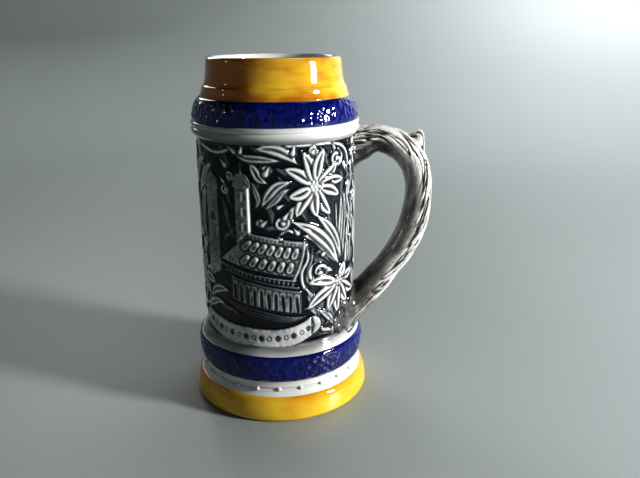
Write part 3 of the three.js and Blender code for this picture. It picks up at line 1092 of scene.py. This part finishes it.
class ReliefField:
    """Heights in mm on an unrolled wall. Points are (degrees from the handle, mm above the table).

    rubbed is how far the stain may be rubbed off each spot, taken from rub when a form is laid there.
    """

    def __init__(self, first_degree, last_degree, bottom, top):
        self.columns = int(round((last_degree - first_degree) * MM_PER_DEGREE / GRID_STEP)) + 1
        self.rows = int(round((top - bottom) / GRID_STEP)) + 1
        self.degrees = np.linspace(first_degree, last_degree, self.columns)
        self.levels = np.linspace(bottom, top, self.rows)
        self.x, self.y = np.meshgrid(self.degrees * MM_PER_DEGREE, self.levels)
        self.height = np.zeros_like(self.x)
        self.rubbed = np.zeros_like(self.x)
        self.rub = 1.0

    def window(self, points, margin):
        """The part of the grid that holds the points, given in mm, and a margin round them."""
        low = points.min(0) - margin
        high = points.max(0) + margin
        i = np.searchsorted(self.x[0], [low[0], high[0]])
        j = np.searchsorted(self.y[:, 0], [low[1], high[1]])
        return slice(j[0], j[1]), slice(i[0], i[1])

    def lay(self, where, inside, height, moat):
        """Puts a form over what is there, with a cut outline where inside is between 0 and -moat."""
        field = self.height[where]
        lowered = field
        if moat:
            lowered = field * (1 - 0.85 * smoothstep(0, 1, 1 + inside / moat))
        self.height[where] = np.where(inside > 0, np.maximum(height, lowered * 0.35), lowered)
        self.rubbed[where] = np.where(inside > 0, self.rub, self.rubbed[where])

    def stroke(self, points, half_width, height, groove=0.0, flat=0.0, moat=0.5):
        """Raises a form along a line. half_width is a number or a function of the way along, 0 to 1.
        groove is the depth of its middle vein, and flat is how far its top is a table, not a dome."""
        line = smooth_line(points)
        way = np.linspace(0, 1, len(line))
        widths = half_width(way) if callable(half_width) else np.full(len(line), float(half_width))
        where = self.window(line, widths.max() + moat + GRID_STEP)
        x, y = self.x[where], self.y[where]
        if not x.size:
            return
        apart = (x[..., None] - line[:, 0]) ** 2 + (y[..., None] - line[:, 1]) ** 2
        near = np.sqrt(apart) - widths
        nearest = near.argmin(-1)
        inside = -np.take_along_axis(near, nearest[..., None], -1)[..., 0]
        wide = widths[nearest]
        across = np.clip(1 - inside / wide, 0, 1)
        dome = np.sqrt(np.clip(1 - across**2, 0, 1))
        table = np.clip((1 - across) * wide / 0.5, 0, 1)
        form = dome * (1 - flat) + table * flat
        along = way[nearest]
        vein = groove * np.clip(np.sin(np.pi * along) * 1.6, 0, 1)
        form = form * (1 - vein * np.exp(-((across / 0.24) ** 2)))
        self.lay(where, inside, height * form, moat)

    def panel(self, corners, height, bevel=0.5, moat=0.4, sunk=False):
        """Raises, or sinks to a height, a flat convex form between corners that go round either way."""
        spots = to_mm(corners)
        where = self.window(spots, moat + GRID_STEP)
        x, y = self.x[where], self.y[where]
        following = np.roll(spots, -1, axis=0)
        area = np.sum(spots[:, 0] * following[:, 1] - following[:, 0] * spots[:, 1])
        turn = 1.0 if area > 0 else -1.0
        inside = np.full(x.shape, np.inf)
        for a, b in zip(spots, following):
            edge = (b - a) / max(np.hypot(*(b - a)), 1e-9)
            inside = np.minimum(inside, turn * (edge[0] * (y - a[1]) - edge[1] * (x - a[0])))
        if sunk:
            depth = np.clip(inside / bevel, 0, 1)
            self.height[where] = self.height[where] * (1 - depth) + height * depth
        else:
            self.lay(where, inside, height * np.clip(inside / bevel, 0, 1) ** 0.7, moat)

    def boss(self, spot, radius, height, moat=0.5):
        """Raises a round dot."""
        self.stroke([spot, (spot[0] + 0.01, spot[1])], radius, height, moat=moat)

    def ridge(self, points, width=0.5, height=0.9, moat=0.3):
        """Raises a narrow line of one width."""
        self.stroke(points, width, height, moat=moat)


def to_mm(points):
    """Points in degrees and mm, as mm on the unrolled wall."""
    return np.array(points, float) * [MM_PER_DEGREE, 1]


def smooth_line(points):
    """A rounded line through points given in degrees and mm, in mm."""
    return rounded(to_mm(points), STROKE_STEP)


# Half widths along a stroke, each a function of the way along it, 0 to 1.
def petal_width(widest):
    def half_width(way):
        swell = np.clip(np.sin(np.pi * way**0.8), 0.12, 1)
        return widest * swell * np.clip((1 - way) * 5, 0.15, 1)

    return half_width


def leaf_width(widest):
    return lambda way: widest * np.clip(np.sin(np.pi * way), 0.1, 1) ** 0.8


def vine_width(wide):
    return lambda way: wide * np.clip(6 * way, 0.4, 1) * np.clip(6 * (1 - way), 0.4, 1)


def tear_width(wide):
    return lambda way: wide * (0.25 + 0.75 * way**1.5)


def spot_around(centre, reach, angle):
    """The place at a reach in mm from a centre. Angle 0 points away from the handle, a quarter turn up."""
    return (centre[0] - reach * np.cos(angle) / MM_PER_DEGREE, centre[1] + reach * np.sin(angle))


def star_flower(field, centre, petals, width=3.5, height=1.5, start=2.2):
    """Petals are (direction in degrees, length in mm). A ring of beads marks the middle."""
    for direction, length in petals:
        angle = np.radians(direction)
        bow = 0.06 * length * (1 if int(direction) % 2 else -1)
        line = []
        for way in (0, 0.5, 1):
            reach = start + (length - start) * way
            off = bow * np.sin(np.pi * way)
            on_axis = spot_around(centre, reach, angle)
            line.append(spot_around(on_axis, off, angle + np.pi / 2))
        field.stroke(line, petal_width(width), height, groove=0.78)
    for k in range(6):
        field.boss(spot_around(centre, 1.9, 2 * np.pi * k / 6), 1.15, 1.6, moat=0.3)
    field.boss(centre, 1.15, 1.6, moat=0.3)


def spiral(field, centre, radius, turns, start, clockwise, width, height=1.2):
    """A scroll that winds in to a round bulb."""
    way = np.linspace(0, 1, int(12 * turns) + 2)
    turn = np.radians(start) + (-1 if clockwise else 1) * 2 * np.pi * turns * way
    reach = radius * (1 - way) ** 0.8 + 0.9 * way
    line = [spot_around(centre, r, a) for r, a in zip(reach, turn)]
    field.stroke(line, vine_width(width), height)
    field.boss(line[-1], width * 1.7, height * 1.05, moat=0.2)


def between(corners, across, up):
    """A place inside a four-sided form: corners are lower left, lower right, upper right, upper left."""
    lower_left, lower_right, upper_right, upper_left = (np.array(corner, float) for corner in corners)
    low = lower_left + (lower_right - lower_left) * across
    high = upper_left + (upper_right - upper_left) * across
    return tuple(low + (high - low) * up)


def tower(field, left, right, foot, shoulder, tip, bands, dome=7.0):
    """A round-fronted tower with string courses, paired openings, a ribbed dome and a finial."""
    middle = (left + right) / 2
    half = abs(left - right) / 2
    field.stroke([(middle, foot), (middle, shoulder)], half * MM_PER_DEGREE, 2.3, flat=0.15, moat=0.9)
    for level in bands:
        field.ridge([(middle + half * 0.8, level), (middle - half * 0.8, level)], 0.6, 2.3, 0.7)
    for low, high in zip(bands, bands[1:]):
        for share in (-0.36, 0.36):
            x = middle + half * share
            sill, head = low + 1.6, high - 2
            opening = [(x + 0.9, sill), (x - 0.9, sill), (x - 0.9, head), (x + 0.9, head)]
            field.panel(opening, 0.5, bevel=0.35, sunk=True)
    for level in np.linspace(0, 1, 9):
        reach = half * 1.05 * np.sqrt(max(1 - level**2.2, 0.02))
        y = shoulder + 0.8 + dome * level
        field.stroke([(middle + reach, y), (middle - reach, y)], 0.75, 2.2 - 0.8 * level, moat=0.1)
    top = shoulder + dome
    for share in (-0.5, 0, 0.5):
        foot_of_rib = (middle + half * share * 1.4, shoulder + 1)
        waist = (middle + half * share * 1.25, shoulder + dome * 0.5)
        field.stroke([foot_of_rib, waist, (middle, top)], 0.42, 2.4)
    field.stroke([(middle, top), (middle, top + 2)], 0.9, 1.4, moat=0.3)
    field.ridge([(middle, top + 2), (middle, tip)], 0.42, 1.3)
    field.boss((middle, tip), 0.7, 1.3, moat=0.3)


def church_towers(field):
    """Two domed towers that keep more stain, partly as painted shade, a ridge on the edge of the nearer one
    left white as a painted highlight, and a round window.
    """
    field.rub = TOWER_RUB_WITH_PAINTED_SHADE
    tower(field, 148, 135, 84, 126, 138, (90, 96.5, 108, 114, 121, 126))
    tower(field, 120.5, 109, 98, 128, 140, (104, 112, 120, 128))
    # A ridge down the nearer tower's edge, left fully white: a painted highlight.
    field.rub = 1.0
    field.ridge([(110.4, 105), (110.4, 128)], 1.0, 2.1, 0.2)
    field.rub = PICTURE_RUB
    window = (141.5, 110.8)
    field.boss(window, 2.6, 1.3, moat=0.4)
    field.boss(window, 1.5, 0.6, moat=0)


def church_roof(field):
    """The nave's steep roof: courses of tiles, two rows of dormers and a gable at the right."""
    roof = [(136, 88.5), (79.5, 80.5), (72.5, 99), (111, 104.5)]
    field.panel(roof, 1.0, moat=0.5)
    courses = 13
    for k in range(courses):
        level = (k + 0.5) / courses
        course = [between(roof, 0.01, level), between(roof, 0.985, level)]
        field.stroke(course, 0.32, 1.14, moat=0.12)
    field.ridge([between(roof, 0, 1), between(roof, 1, 1)], 0.7, 1.5, 0.2)
    for level, count, first, last in ((0.66, 7, 0.15, 0.9), (0.24, 6, 0.3, 0.9)):
        for k in range(count):
            across = first + (last - first) * k / (count - 1)
            foot = between(roof, across, level - 0.06)
            field.stroke([foot, between(roof, across, level + 0.1)], 1.8, 1.7, flat=0.35, moat=0.8)
            field.stroke([foot, between(roof, across, level + 0.02)], 0.5, 1.0)
    field.stroke([(72.5, 99.5), (73.8, 92), (77.5, 84), (80.5, 79.5)], 1.0, 1.7)


def church_walls(field):
    """Eaves with dentils under them, an arcade of round-headed windows and the steps below."""
    field.ridge([(139, 87), (110, 82.6), (79, 78.7)], 0.6, 1.15)
    field.ridge([(131, 83.5), (108, 79.2), (77, 74.6)], 0.55, 1.0)
    dentils = 15
    for k in range(dentils):
        way = (k + 0.5) / dentils
        x = 128 + (79.5 - 128) * way
        y = 84.1 + (76.8 - 84.1) * way
        dentil = [(x + 0.85, y - 0.9), (x - 0.85, y - 1.0), (x - 0.85, y + 0.9), (x + 0.85, y + 1.0)]
        field.panel(dentil, 1.15, bevel=0.35, moat=0.3)
    wall = [(126, 66.5), (75, 59.5), (75.5, 72.5), (126, 80.5)]
    field.panel(wall, 0.7, moat=0.3)
    field.ridge([between(wall, 0, 0.97), between(wall, 1, 0.97)], 0.5, 1.1)
    half = 0.032
    arch = ((-1, 0.06), (-1, 0.66), (-0.55, 0.82), (0.55, 0.82), (1, 0.66), (1, 0.06))
    opening = ((-0.5, 0.08), (0.5, 0.08), (0.5, 0.68), (-0.5, 0.68))
    for k in range(10):
        middle = (k + 0.6) / 10.2
        field.stroke([between(wall, middle + half * x, y) for x, y in arch], 0.48, 1.25, moat=0.25)
        sunk = [between(wall, middle + half * x, y) for x, y in opening]
        field.panel(sunk, 0.12, bevel=0.25, sunk=True)
    for k, drop in enumerate((0, 1.7, 3.3)):
        step = [
            (128 - 2 * k, 65.4 - drop),
            (106, 62.2 - drop),
            (88 - k, 59 - drop * 0.9),
            (73 + 2 * k, 57.6 - drop * 0.3),
        ]
        field.ridge(step, 0.5, 1.0 - 0.1 * k)


def church(field):
    """The vignette on the front: a church with two domed towers."""
    church_towers(field)
    church_roof(field)
    church_walls(field)


def gable(field, left, right, top):
    """A stepped gable with three rows of round-headed windows."""
    eaves = top - 12
    field.panel([(left, 62), (right, 62), (right, eaves), (left, eaves)], 0.6, moat=0.6)
    steps = 4
    for k in range(steps):
        inset = (left - right) / 2 * (k + 0.2) / steps
        low = eaves + 12 * k / steps - 0.3
        x0, x1 = left - inset, right + inset
        step = [(x0, low), (x1, low), (x1, low + 3.5), (x0, low + 3.5)]
        field.panel(step, 0.75 + 0.1 * k, moat=0.35)
    arch = ((1.3, 0), (1.3, 3.4), (0, 4.6), (-1.3, 3.4), (-1.3, 0))
    for row in range(3):
        for k in range(4):
            x = left + (right - left) * (k + 0.7) / 4.4
            y = 66 + row * 7.5
            field.stroke([(x + dx, y + dy) for dx, dy in arch], 0.4, 1.25, moat=0.25)


def gatehouse(field):
    """The vignette on the back: a walled gate with one domed tower and stepped gables."""
    tower(field, 118, 104, 70, 128, 141, (78, 88, 98, 108, 118, 128), dome=8)
    gable(field, 146, 120, 100)
    gable(field, 102, 78, 96)
    field.stroke([(115.5, 62), (115.5, 69), (111, 73.5), (106.5, 69), (106.5, 62)], 0.8, 1.4)
    for k in range(12):
        x = 148 - k * 6.2
        merlon = [(x, 57.5), (x - 4.2, 57.5), (x - 4.2, 62.5), (x, 62.5)]
        field.panel(merlon, 0.95, bevel=0.4, moat=0.3)
    field.ridge([(149, 57), (112, 55.5), (74, 57)], 0.6, 1.1)


def ribbon(field):
    """A hanging ribbon with a folded end and a running ornament of lozenges and dots."""
    line = [(154, 51), (138, 48.6), (119, 47.1), (98, 46.5), (82, 47.7), (72, 50.2), (66.5, 52.4)]
    field.stroke(line, 5.2, 1.2, flat=1.0, moat=0.9)
    field.stroke([(x, y + 4.8) for x, y in line], 0.5, 1.5, moat=0.15)
    field.stroke([(x, y - 4.6) for x, y in line], 0.5, 1.45, moat=0.15)
    fold = [(67.5, 46.5), (63.4, 45.2), (65.8, 52), (62.6, 59.5), (67.5, 57.4)]
    field.panel(fold, 1.25, moat=0.6)
    middle = smooth_line(line)
    ornaments = 15
    for k in range(ornaments):
        x, y = middle[int((k + 0.8) / (ornaments + 0.6) * (len(middle) - 1))]
        x = x / MM_PER_DEGREE
        if k % 2:
            field.boss((x, y), 0.95, 1.65)
        else:
            lozenge = [(x + 2.9, y), (x, y - 2.1), (x - 2.9, y), (x, y + 2.1)]
            field.panel(lozenge, 0.45, bevel=0.35, sunk=True)
            field.stroke([(x + 1.3, y), (x - 1.3, y)], 0.45, 1.1, moat=0)


# Leaves, vines and drops: each a line of (degrees, mm), then its greatest half width in mm.
GROOVED_LEAVES = (
    (((72, 74), (66, 68), (63, 66), (57, 65)), 1.5),
    (((53, 66), (50, 60), (50, 56), (46, 53)), 1.5),
    (((23, 98), (26, 91), (25, 86), (28, 80)), 1.5),
    (((22, 140), (25, 134), (24, 128), (27, 122)), 1.6),
    (((26, 119), (22, 111), (24, 104), (20, 97)), 1.5),
    (((165, 140), (158, 139), (152, 137), (147, 133)), 1.5),
    (((71, 70), (68, 65), (67, 61), (63, 57)), 1.4),
    (((60, 74), (56, 70), (54, 66), (50, 62)), 1.5),
    (((46, 64), (42, 60), (40, 55), (36, 51)), 1.5),
    (((70, 57), (65, 54), (61, 50), (56, 46)), 1.4),
    (((62, 52), (58, 48), (53, 47), (49, 44)), 1.3),
    (((38, 66), (35, 61), (34, 56), (30, 51)), 1.3),
    (((33, 47.5), (28, 51), (23, 54), (17, 57)), 2.0),
    (((43, 49), (38, 52), (34, 56), (29, 60)), 2.1),
    (((62, 60), (56, 57), (51, 53), (47, 48)), 2.3),
    (((9, 104), (14, 112), (15, 120), (21, 127)), 2.6),
    (((10, 84), (16, 92), (17, 101), (24, 108)), 2.7),
    (((13, 60), (18, 66), (20, 73), (27, 78)), 2.4),
    (((178, 48), (172, 54), (166, 57), (156, 58)), 2.7),
    (((160, 122), (153, 128), (149, 134), (140, 139)), 2.6),
    (((173, 125), (166, 130), (160, 137), (150, 141)), 3.3),
    (((158, 58), (150, 60), (142, 63), (134, 63)), 2.4),
    (((150, 64), (144, 69), (137, 71), (129, 71)), 2.9),
    (((176, 92), (170, 101), (166, 110), (166, 120)), 3.4),
    (((170, 70), (164, 79), (160, 88), (152, 94)), 3.1),
    (((162, 60), (158, 70), (151, 77), (141, 80)), 3.3),
    (((153, 98), (157, 108), (154, 118), (150, 126)), 3.3),
    (((36, 124), (35, 112), (36.5, 99), (37, 86)), 1.9),
    (((40, 122), (39.5, 110), (41, 97), (41, 86)), 2.4),
    (((79, 119), (82, 115), (84, 110), (88, 106)), 2.2),
    (((107, 132), (105, 127), (103, 122), (105, 118)), 1.7),
    (((108, 141), (105, 137), (102, 133), (97, 131)), 2.7),
    (((99, 117.5), (92, 122), (87, 126), (82, 128)), 2.0),
    (((101, 119), (96, 125), (90, 129.5), (81, 131.5)), 2.9),
    (((121, 147), (112, 143.5), (101, 142.8), (88, 142)), 2.4),
    (((104, 148), (92, 147.5), (83, 144.5), (77, 140.5)), 3.4),
    (((73, 103), (63, 100), (53, 92), (46, 85)), 3.0),
    (((63, 113), (53, 106), (45, 97), (40, 87)), 3.2),
    (((81, 111), (66, 105), (53, 96), (43, 84)), 3.9),
)
# Low leaves behind the others, where the stain is left darker.
SHADED_LEAVES = (
    (((92, 139), (86, 136.5), (80, 135), (74, 131)), 1.8),
    (((101, 127), (98, 121), (95, 116), (94, 109)), 1.7),
    (((132, 123), (128.5, 116), (127, 110), (123, 104)), 1.8),
    (((130, 112), (126, 108), (124, 104), (120, 101)), 1.2),
    (((79, 126), (76, 121), (75, 117), (71, 111)), 1.8),
    (((75, 111), (70, 108), (66, 107), (60, 107)), 1.5),
    (((54, 114), (51, 107), (50, 101), (47, 94)), 1.9),
    (((106, 126), (103, 131), (103, 136), (99, 141)), 1.5),
    (((90, 135), (86, 130), (86, 126), (82, 121)), 1.6),
    (((132, 150), (128, 146), (127, 143), (123, 139)), 1.6),
    (((130, 133), (126, 128), (126, 123), (123, 117)), 1.5),
    (((108, 149.5), (103, 147), (99, 147.5), (94, 149)), 1.3),
    (((60, 148), (56, 144), (55, 141), (52, 137)), 1.6),
    (((40, 135), (38, 129), (39, 124), (37, 119)), 1.8),
    (((74, 147), (71, 143), (71, 140), (68, 136)), 1.5),
    (((52, 100), (50, 94), (48, 89), (45, 84)), 1.6),
    (((68, 104), (64, 101), (61, 98), (57, 95)), 1.5),
    (((57, 50), (52, 52), (48, 54), (42, 58)), 1.7),
    (((75, 62), (69, 62.5), (64, 60), (60, 55)), 1.6),
    (((140, 63), (133, 61), (127, 60.5), (119, 58)), 1.5),
    (((104, 111), (98, 108), (92, 108), (86, 105)), 1.4),
    (((66, 92), (60, 93), (56, 90), (52, 86)), 1.6),
    (((152, 131), (150, 122), (152, 113), (149, 103)), 1.6),
    (((132, 98), (129, 102), (125, 104), (121, 108)), 1.2),
)
VINES = (
    (((95, 146.5), (84, 149), (66, 149.2), (48, 148.6), (36, 145), (31, 138), (31.5, 128)), 1.08),
    (((32, 135), (28, 124), (33, 113), (28.5, 102), (32.5, 92), (34, 80), (38, 75)), 1.44),
    (((27, 132), (32, 121), (27.5, 110), (32, 99), (29, 88), (34, 78)), 1.02),
    (((45.5, 121), (45, 109), (43.5, 97), (42, 84)), 0.72),
    (((70.5, 97.5), (70, 90), (74.5, 83), (73.5, 75.5), (68, 70.5)), 1.2),
    (((67, 95), (67, 89), (70.5, 83.5), (70.5, 77.5), (66.5, 73.5)), 0.72),
    (((163, 49), (169, 62), (166, 76), (172, 90), (168, 104), (173, 118), (167, 131), (171, 147)), 1.44),
    (((179, 60), (175.5, 74), (180, 88)), 0.96),
    (((4, 70), (8, 84), (4, 98), (8, 112), (4, 126)), 1.08),
    (((118, 148.5), (133, 145), (146, 146.5), (158, 148), (168, 146)), 1.08),
    (((90, 104), (84, 106.5), (79.5, 104.5)), 0.96),
)
TEARDROPS = (
    (((124, 149), (119, 146)), 1.56),
    (((113, 150), (114.5, 146)), 1.44),
    (((78, 150), (79.5, 145.5)), 1.8),
    (((95, 139), (98, 135.5)), 2.04),
    (((86, 120), (90, 118.5)), 1.44),
    (((83, 116), (86, 113)), 1.56),
    (((97, 112), (101, 109.5)), 1.56),
    (((91, 103.5), (88.5, 101.8)), 1.08),
    (((80, 107.5), (77, 104.6)), 1.56),
    (((50, 149), (47, 146)), 1.2),
    (((34, 133), (36.5, 137)), 1.8),
    (((54, 92), (58, 91)), 1.44),
    (((49, 80.5), (53, 82)), 1.68),
    (((131, 142), (127, 139)), 1.68),
    (((133, 133), (129, 130.5)), 1.44),
    (((155, 90), (158, 87)), 1.44),
    (((12, 130), (15, 135)), 1.56),
    (((15, 80), (12, 77)), 1.44),
)
# Each scroll's centre, radius, turns, start in degrees, whether it winds clockwise, and half width.
SCROLLS = (
    ((45, 141), 4.6, 1.3, 60, True, 1.2),
    ((60.5, 81.5), 6.6, 1.5, 110, False, 1.35),
    ((88, 110.5), 3.8, 1.2, 60, True, 1.1),
    ((101, 110.5), 2.6, 1.0, 120, False, 0.9),
    ((65, 146.3), 2.4, 1.3, 0, True, 0.9),
    ((157, 146), 3.0, 1.2, 0, False, 1.0),
    ((174, 135), 3.6, 1.3, 180, True, 1.15),
    ((163, 99), 3.0, 1.2, 90, True, 1.0),
    ((20, 118), 3.0, 1.2, 200, False, 1.0),
    ((128, 127), 2.6, 1.1, 10, True, 0.9),
    ((124, 134), 2.4, 1.1, 200, False, 0.85),
    ((97, 138), 2.4, 1.1, 60, True, 0.85),
    ((52, 60), 2.6, 1.1, 30, False, 0.9),
)
# Each flower's centre, then its petals: direction in degrees and length in mm.
FLOWERS = (
    ((64, 128), (
        (148, 20), (110, 20), (73, 21), (38, 19), (3, 21),
        (-23, 18.5), (-58, 20), (-86, 17), (-124, 19.5), (-163, 15.5),
    )),
    ((42.5, 73.5), (
        (12, 15), (-30, 22), (-60, 18), (-92, 20), (-118, 18), (-150, 26), (172, 22), (60, 11),
    )),
    ((160, 76), (
        (30, 12), (75, 12), (120, 13), (165, 12), (-150, 14), (-105, 12), (-60, 13), (-15, 13),
    )),
    ((15, 143), ((20, 7), (80, 6), (140, 8), (200, 8), (250, 9), (310, 9))),
)


def clear_for_roots(field):
    """Fades the relief away where the branch's roots lie on the wall."""
    for middle, wide, tall in ROOT_CLEARINGS:
        apart = np.hypot(field.x / wide, (field.y - middle) / tall)
        field.height *= np.clip((apart - 0.85) / 0.3, 0, 1)


def foliage(field):
    """Leaves, vines, scrolls, drops and flowers round the vignette, from the lowest to the highest."""
    field.rub = SHADED_LEAF_RUB
    for line, wide in SHADED_LEAVES:
        field.stroke(line, leaf_width(wide), 1.0, groove=0.5)
    field.rub = 1.0
    for line, wide in VINES:
        field.stroke(line, vine_width(wide), 1.15)
    for line, wide in GROOVED_LEAVES:
        field.stroke(line, leaf_width(wide), 1.3, groove=0.7)
    for scroll in SCROLLS:
        spiral(field, *scroll)
    for line, wide in TEARDROPS:
        field.stroke(line, tear_width(wide), 1.3)
    for centre, petals in FLOWERS:
        star_flower(field, centre, petals)


def soften(field, passes):
    """Spreads heights to their neighbours: the more passes, the wider."""
    for _ in range(passes):
        for axis in (0, 1):
            last = field.shape[axis] - 1
            before = field.take([0, *range(last)], axis)
            after = field.take([*range(1, last + 1), last], axis)
            field = 0.25 * before + 0.5 * field + 0.25 * after
    return field


def raised_share(field):
    """How far the stain is rubbed off each spot, 0 to 1: where it stands above its surroundings, but
    no further than its form allows. The plain strip at the bottom is half rubbed."""
    height = soften(field.height, 2)
    surroundings = soften(height, 24)
    raised = np.clip((height - 0.1 - 0.3 * surroundings) / 0.95, 0, 1)
    raised = np.minimum(raised, soften(field.rubbed, 2))
    return np.maximum(raised, 0.55 * smoothstep(44.5, 42.0, field.levels)[:, None])


def panel_radius(field):
    """The outside of the relief, in mm: it is flush with its neighbours at its upper and lower edge."""
    above = field.levels - RELIEF_BOTTOM
    below = RELIEF_TOP - field.levels
    border = np.clip(np.minimum(above, below) / 1.2, 0, 1)
    flare = 1.7 * (1 - np.clip(above / 7, 0, 1)) ** 2 + 0.6 * smoothstep(1.4, 0.0, below)
    return GROUND_RADIUS + flare[:, None] + soften(field.height, 2) * border[:, None]


def panel_faces(rows, columns):
    """The outside's squares, then the lower, upper and back strips, then both ends."""
    index = np.arange(rows * columns).reshape(rows, columns)
    squares = np.stack([index[:-1, :-1], index[1:, :-1], index[1:, 1:], index[:-1, 1:]], -1)
    faces = squares.reshape(-1, 4).tolist()
    low = rows * columns + np.arange(columns)
    high = low + columns
    for i in range(columns - 1):
        faces.append((index[0, i], index[0, i + 1], low[i + 1], low[i]))
        faces.append((index[-1, i + 1], index[-1, i], high[i], high[i + 1]))
        faces.append((low[i], low[i + 1], high[i + 1], high[i]))
    faces.append([*index[::-1, 0], low[0], high[0]])
    faces.append([*index[:, -1], high[-1], low[-1]])
    return faces


def make_relief_panel(name, picture, mirrored):
    """Half of the barrel: the carved outside, its four edges and a plain back."""
    field = ReliefField(0, 180, RELIEF_BOTTOM, RELIEF_TOP)
    field.rub = PICTURE_RUB
    picture(field)
    foliage(field)
    field.rub = RIBBON_RUB
    ribbon(field)
    clear_for_roots(field)

    angle = np.radians(field.degrees)
    ways = np.stack([np.cos(angle), (1 if mirrored else -1) * np.sin(angle)], -1)
    outside = panel_radius(field)[..., None] * ways
    levels = np.broadcast_to(field.levels[:, None, None], (field.rows, field.columns, 1))
    places = [np.concatenate([outside, levels], -1).reshape(-1, 3)]
    back = (GROUND_RADIUS - RELIEF_THICKNESS) * ways
    for z in (RELIEF_BOTTOM, RELIEF_TOP):
        places.append(np.column_stack([back, np.full(field.columns, z)]))

    raised = np.concatenate([raised_share(field).ravel(), np.zeros(2 * field.columns)])
    faces = panel_faces(field.rows, field.columns)
    panel = mesh_object(name, np.concatenate(places) * MM, faces, {"raised": raised})
    turn_outwards(panel.data)
    panel.data.materials.append(relief_stain)
    settle(panel, "antiqued_glaze", "stein_body")


make_relief_panel("relief_front", church, mirrored=False)
make_relief_panel("relief_back", gatehouse, mirrored=True)


# ---- Stage, light and camera ----
def make_stage():
    """A pale round sweep: flat floor curving up to a low wall far from the stein."""
    flat_reach, wall_reach, wall_top, corner_height = 0.75, 1.25, 1.1, 0.45
    corner_steps = 16
    segments = 96
    profile = [(flat_reach, 0.0)]
    for k in range(1, corner_steps + 1):
        turn = k / corner_steps * math.pi / 2
        reach = flat_reach + math.sin(turn) * (wall_reach - flat_reach)
        profile.append((reach, corner_height * (1 - math.cos(turn))))
    profile.append((wall_reach, wall_top))
    vertices = []
    for r, z in profile:
        for k in range(segments):
            angle = 2 * math.pi * k / segments
            vertices.append((r * math.cos(angle), r * math.sin(angle), z))
    vertices.append((0, 0, 0))
    faces = [(k, (k + 1) % segments, len(vertices) - 1) for k in range(segments)]
    for row in range(len(profile) - 1):
        for k in range(segments):
            a = row * segments + k
            b = row * segments + (k + 1) % segments
            faces.append((b, a, a + segments, b + segments))
    floor = mesh_object("pale_floor", vertices, faces)
    material = bpy.data.materials.new("pale_floor_paint")
    material.use_nodes = True
    shader = material.node_tree.nodes["Principled BSDF"]
    shader.inputs["Base Color"].default_value = (0.37, 0.40, 0.40, 1)
    shader.inputs["Roughness"].default_value = 0.45
    floor.data.materials.append(material)


def softbox(name, place, size, watts, aim=(0, 0, 0.1)):
    """A rectangular light that faces the place it is aimed at."""
    lamp = bpy.data.lights.new(name, "AREA")
    lamp.shape = "RECTANGLE"
    lamp.size, lamp.size_y = size
    lamp.energy = watts
    thing = bpy.data.objects.new(name, lamp)
    thing.location = place
    way = np.array(aim) - np.array(place)
    x, y, z = way / np.linalg.norm(way)
    thing.rotation_euler = (math.acos(max(min(-z, 1), -1)), 0.0, math.atan2(-x, y))
    bpy.context.scene.collection.objects.link(thing)


def make_light():
    """One strong softbox from the handle's side, a small lamp opposite, and soft light from above,
    on the wall and from behind."""
    softbox("key_softbox", (0.80, -0.35, 0.33), (0.12, 0.18), 9.0)
    softbox("small_left_lamp", (-0.80, -0.05, 0.42), (0.02, 0.02), 0.05)
    softbox("overhead", (0.30, 0.45, 1.15), (0.5, 0.5), 1.6, aim=(0.15, 0.1, 0))
    softbox("wall_wash", (0.55, 0.70, 0.75), (0.5, 0.3), 5.0, aim=(0.85, 1.05, 0.3))
    softbox("back_fill", (-0.40, 0.85, 0.60), (0.5, 0.4), 1.6)
    world = bpy.data.worlds.new("soft_room")
    bpy.context.scene.world = world
    world.use_nodes = True
    background = world.node_tree.nodes["Background"]
    background.inputs["Color"].default_value = (0.80, 0.85, 0.90, 1)
    background.inputs["Strength"].default_value = 0.012


def make_camera():
    """The camera looks down a little from in front, turned slightly towards the handle."""
    camera = bpy.data.cameras.new("camera")
    camera.sensor_width = 36.0
    camera.lens = 36.197
    camera.clip_start = 0.01
    camera.clip_end = 10
    thing = bpy.data.objects.new("camera", camera)
    thing.location = (0, -352.8 * MM, 203.1 * MM)
    yaw, pitch, roll = math.radians(3.87), math.radians(18.08), math.radians(0.35)
    upright = Matrix.Rotation(math.pi / 2 - pitch, 4, "X")
    turn = Matrix.Rotation(-yaw, 4, "Z") @ upright @ Matrix.Rotation(-roll, 4, "Z")
    thing.rotation_mode = "XYZ"
    thing.rotation_euler = turn.to_euler()
    bpy.context.scene.collection.objects.link(thing)
    bpy.context.scene.camera = thing


make_stage()
make_light()
make_camera()

scene = bpy.context.scene
scene.view_settings.view_transform = "Standard"
scene.view_settings.look = "High Contrast"
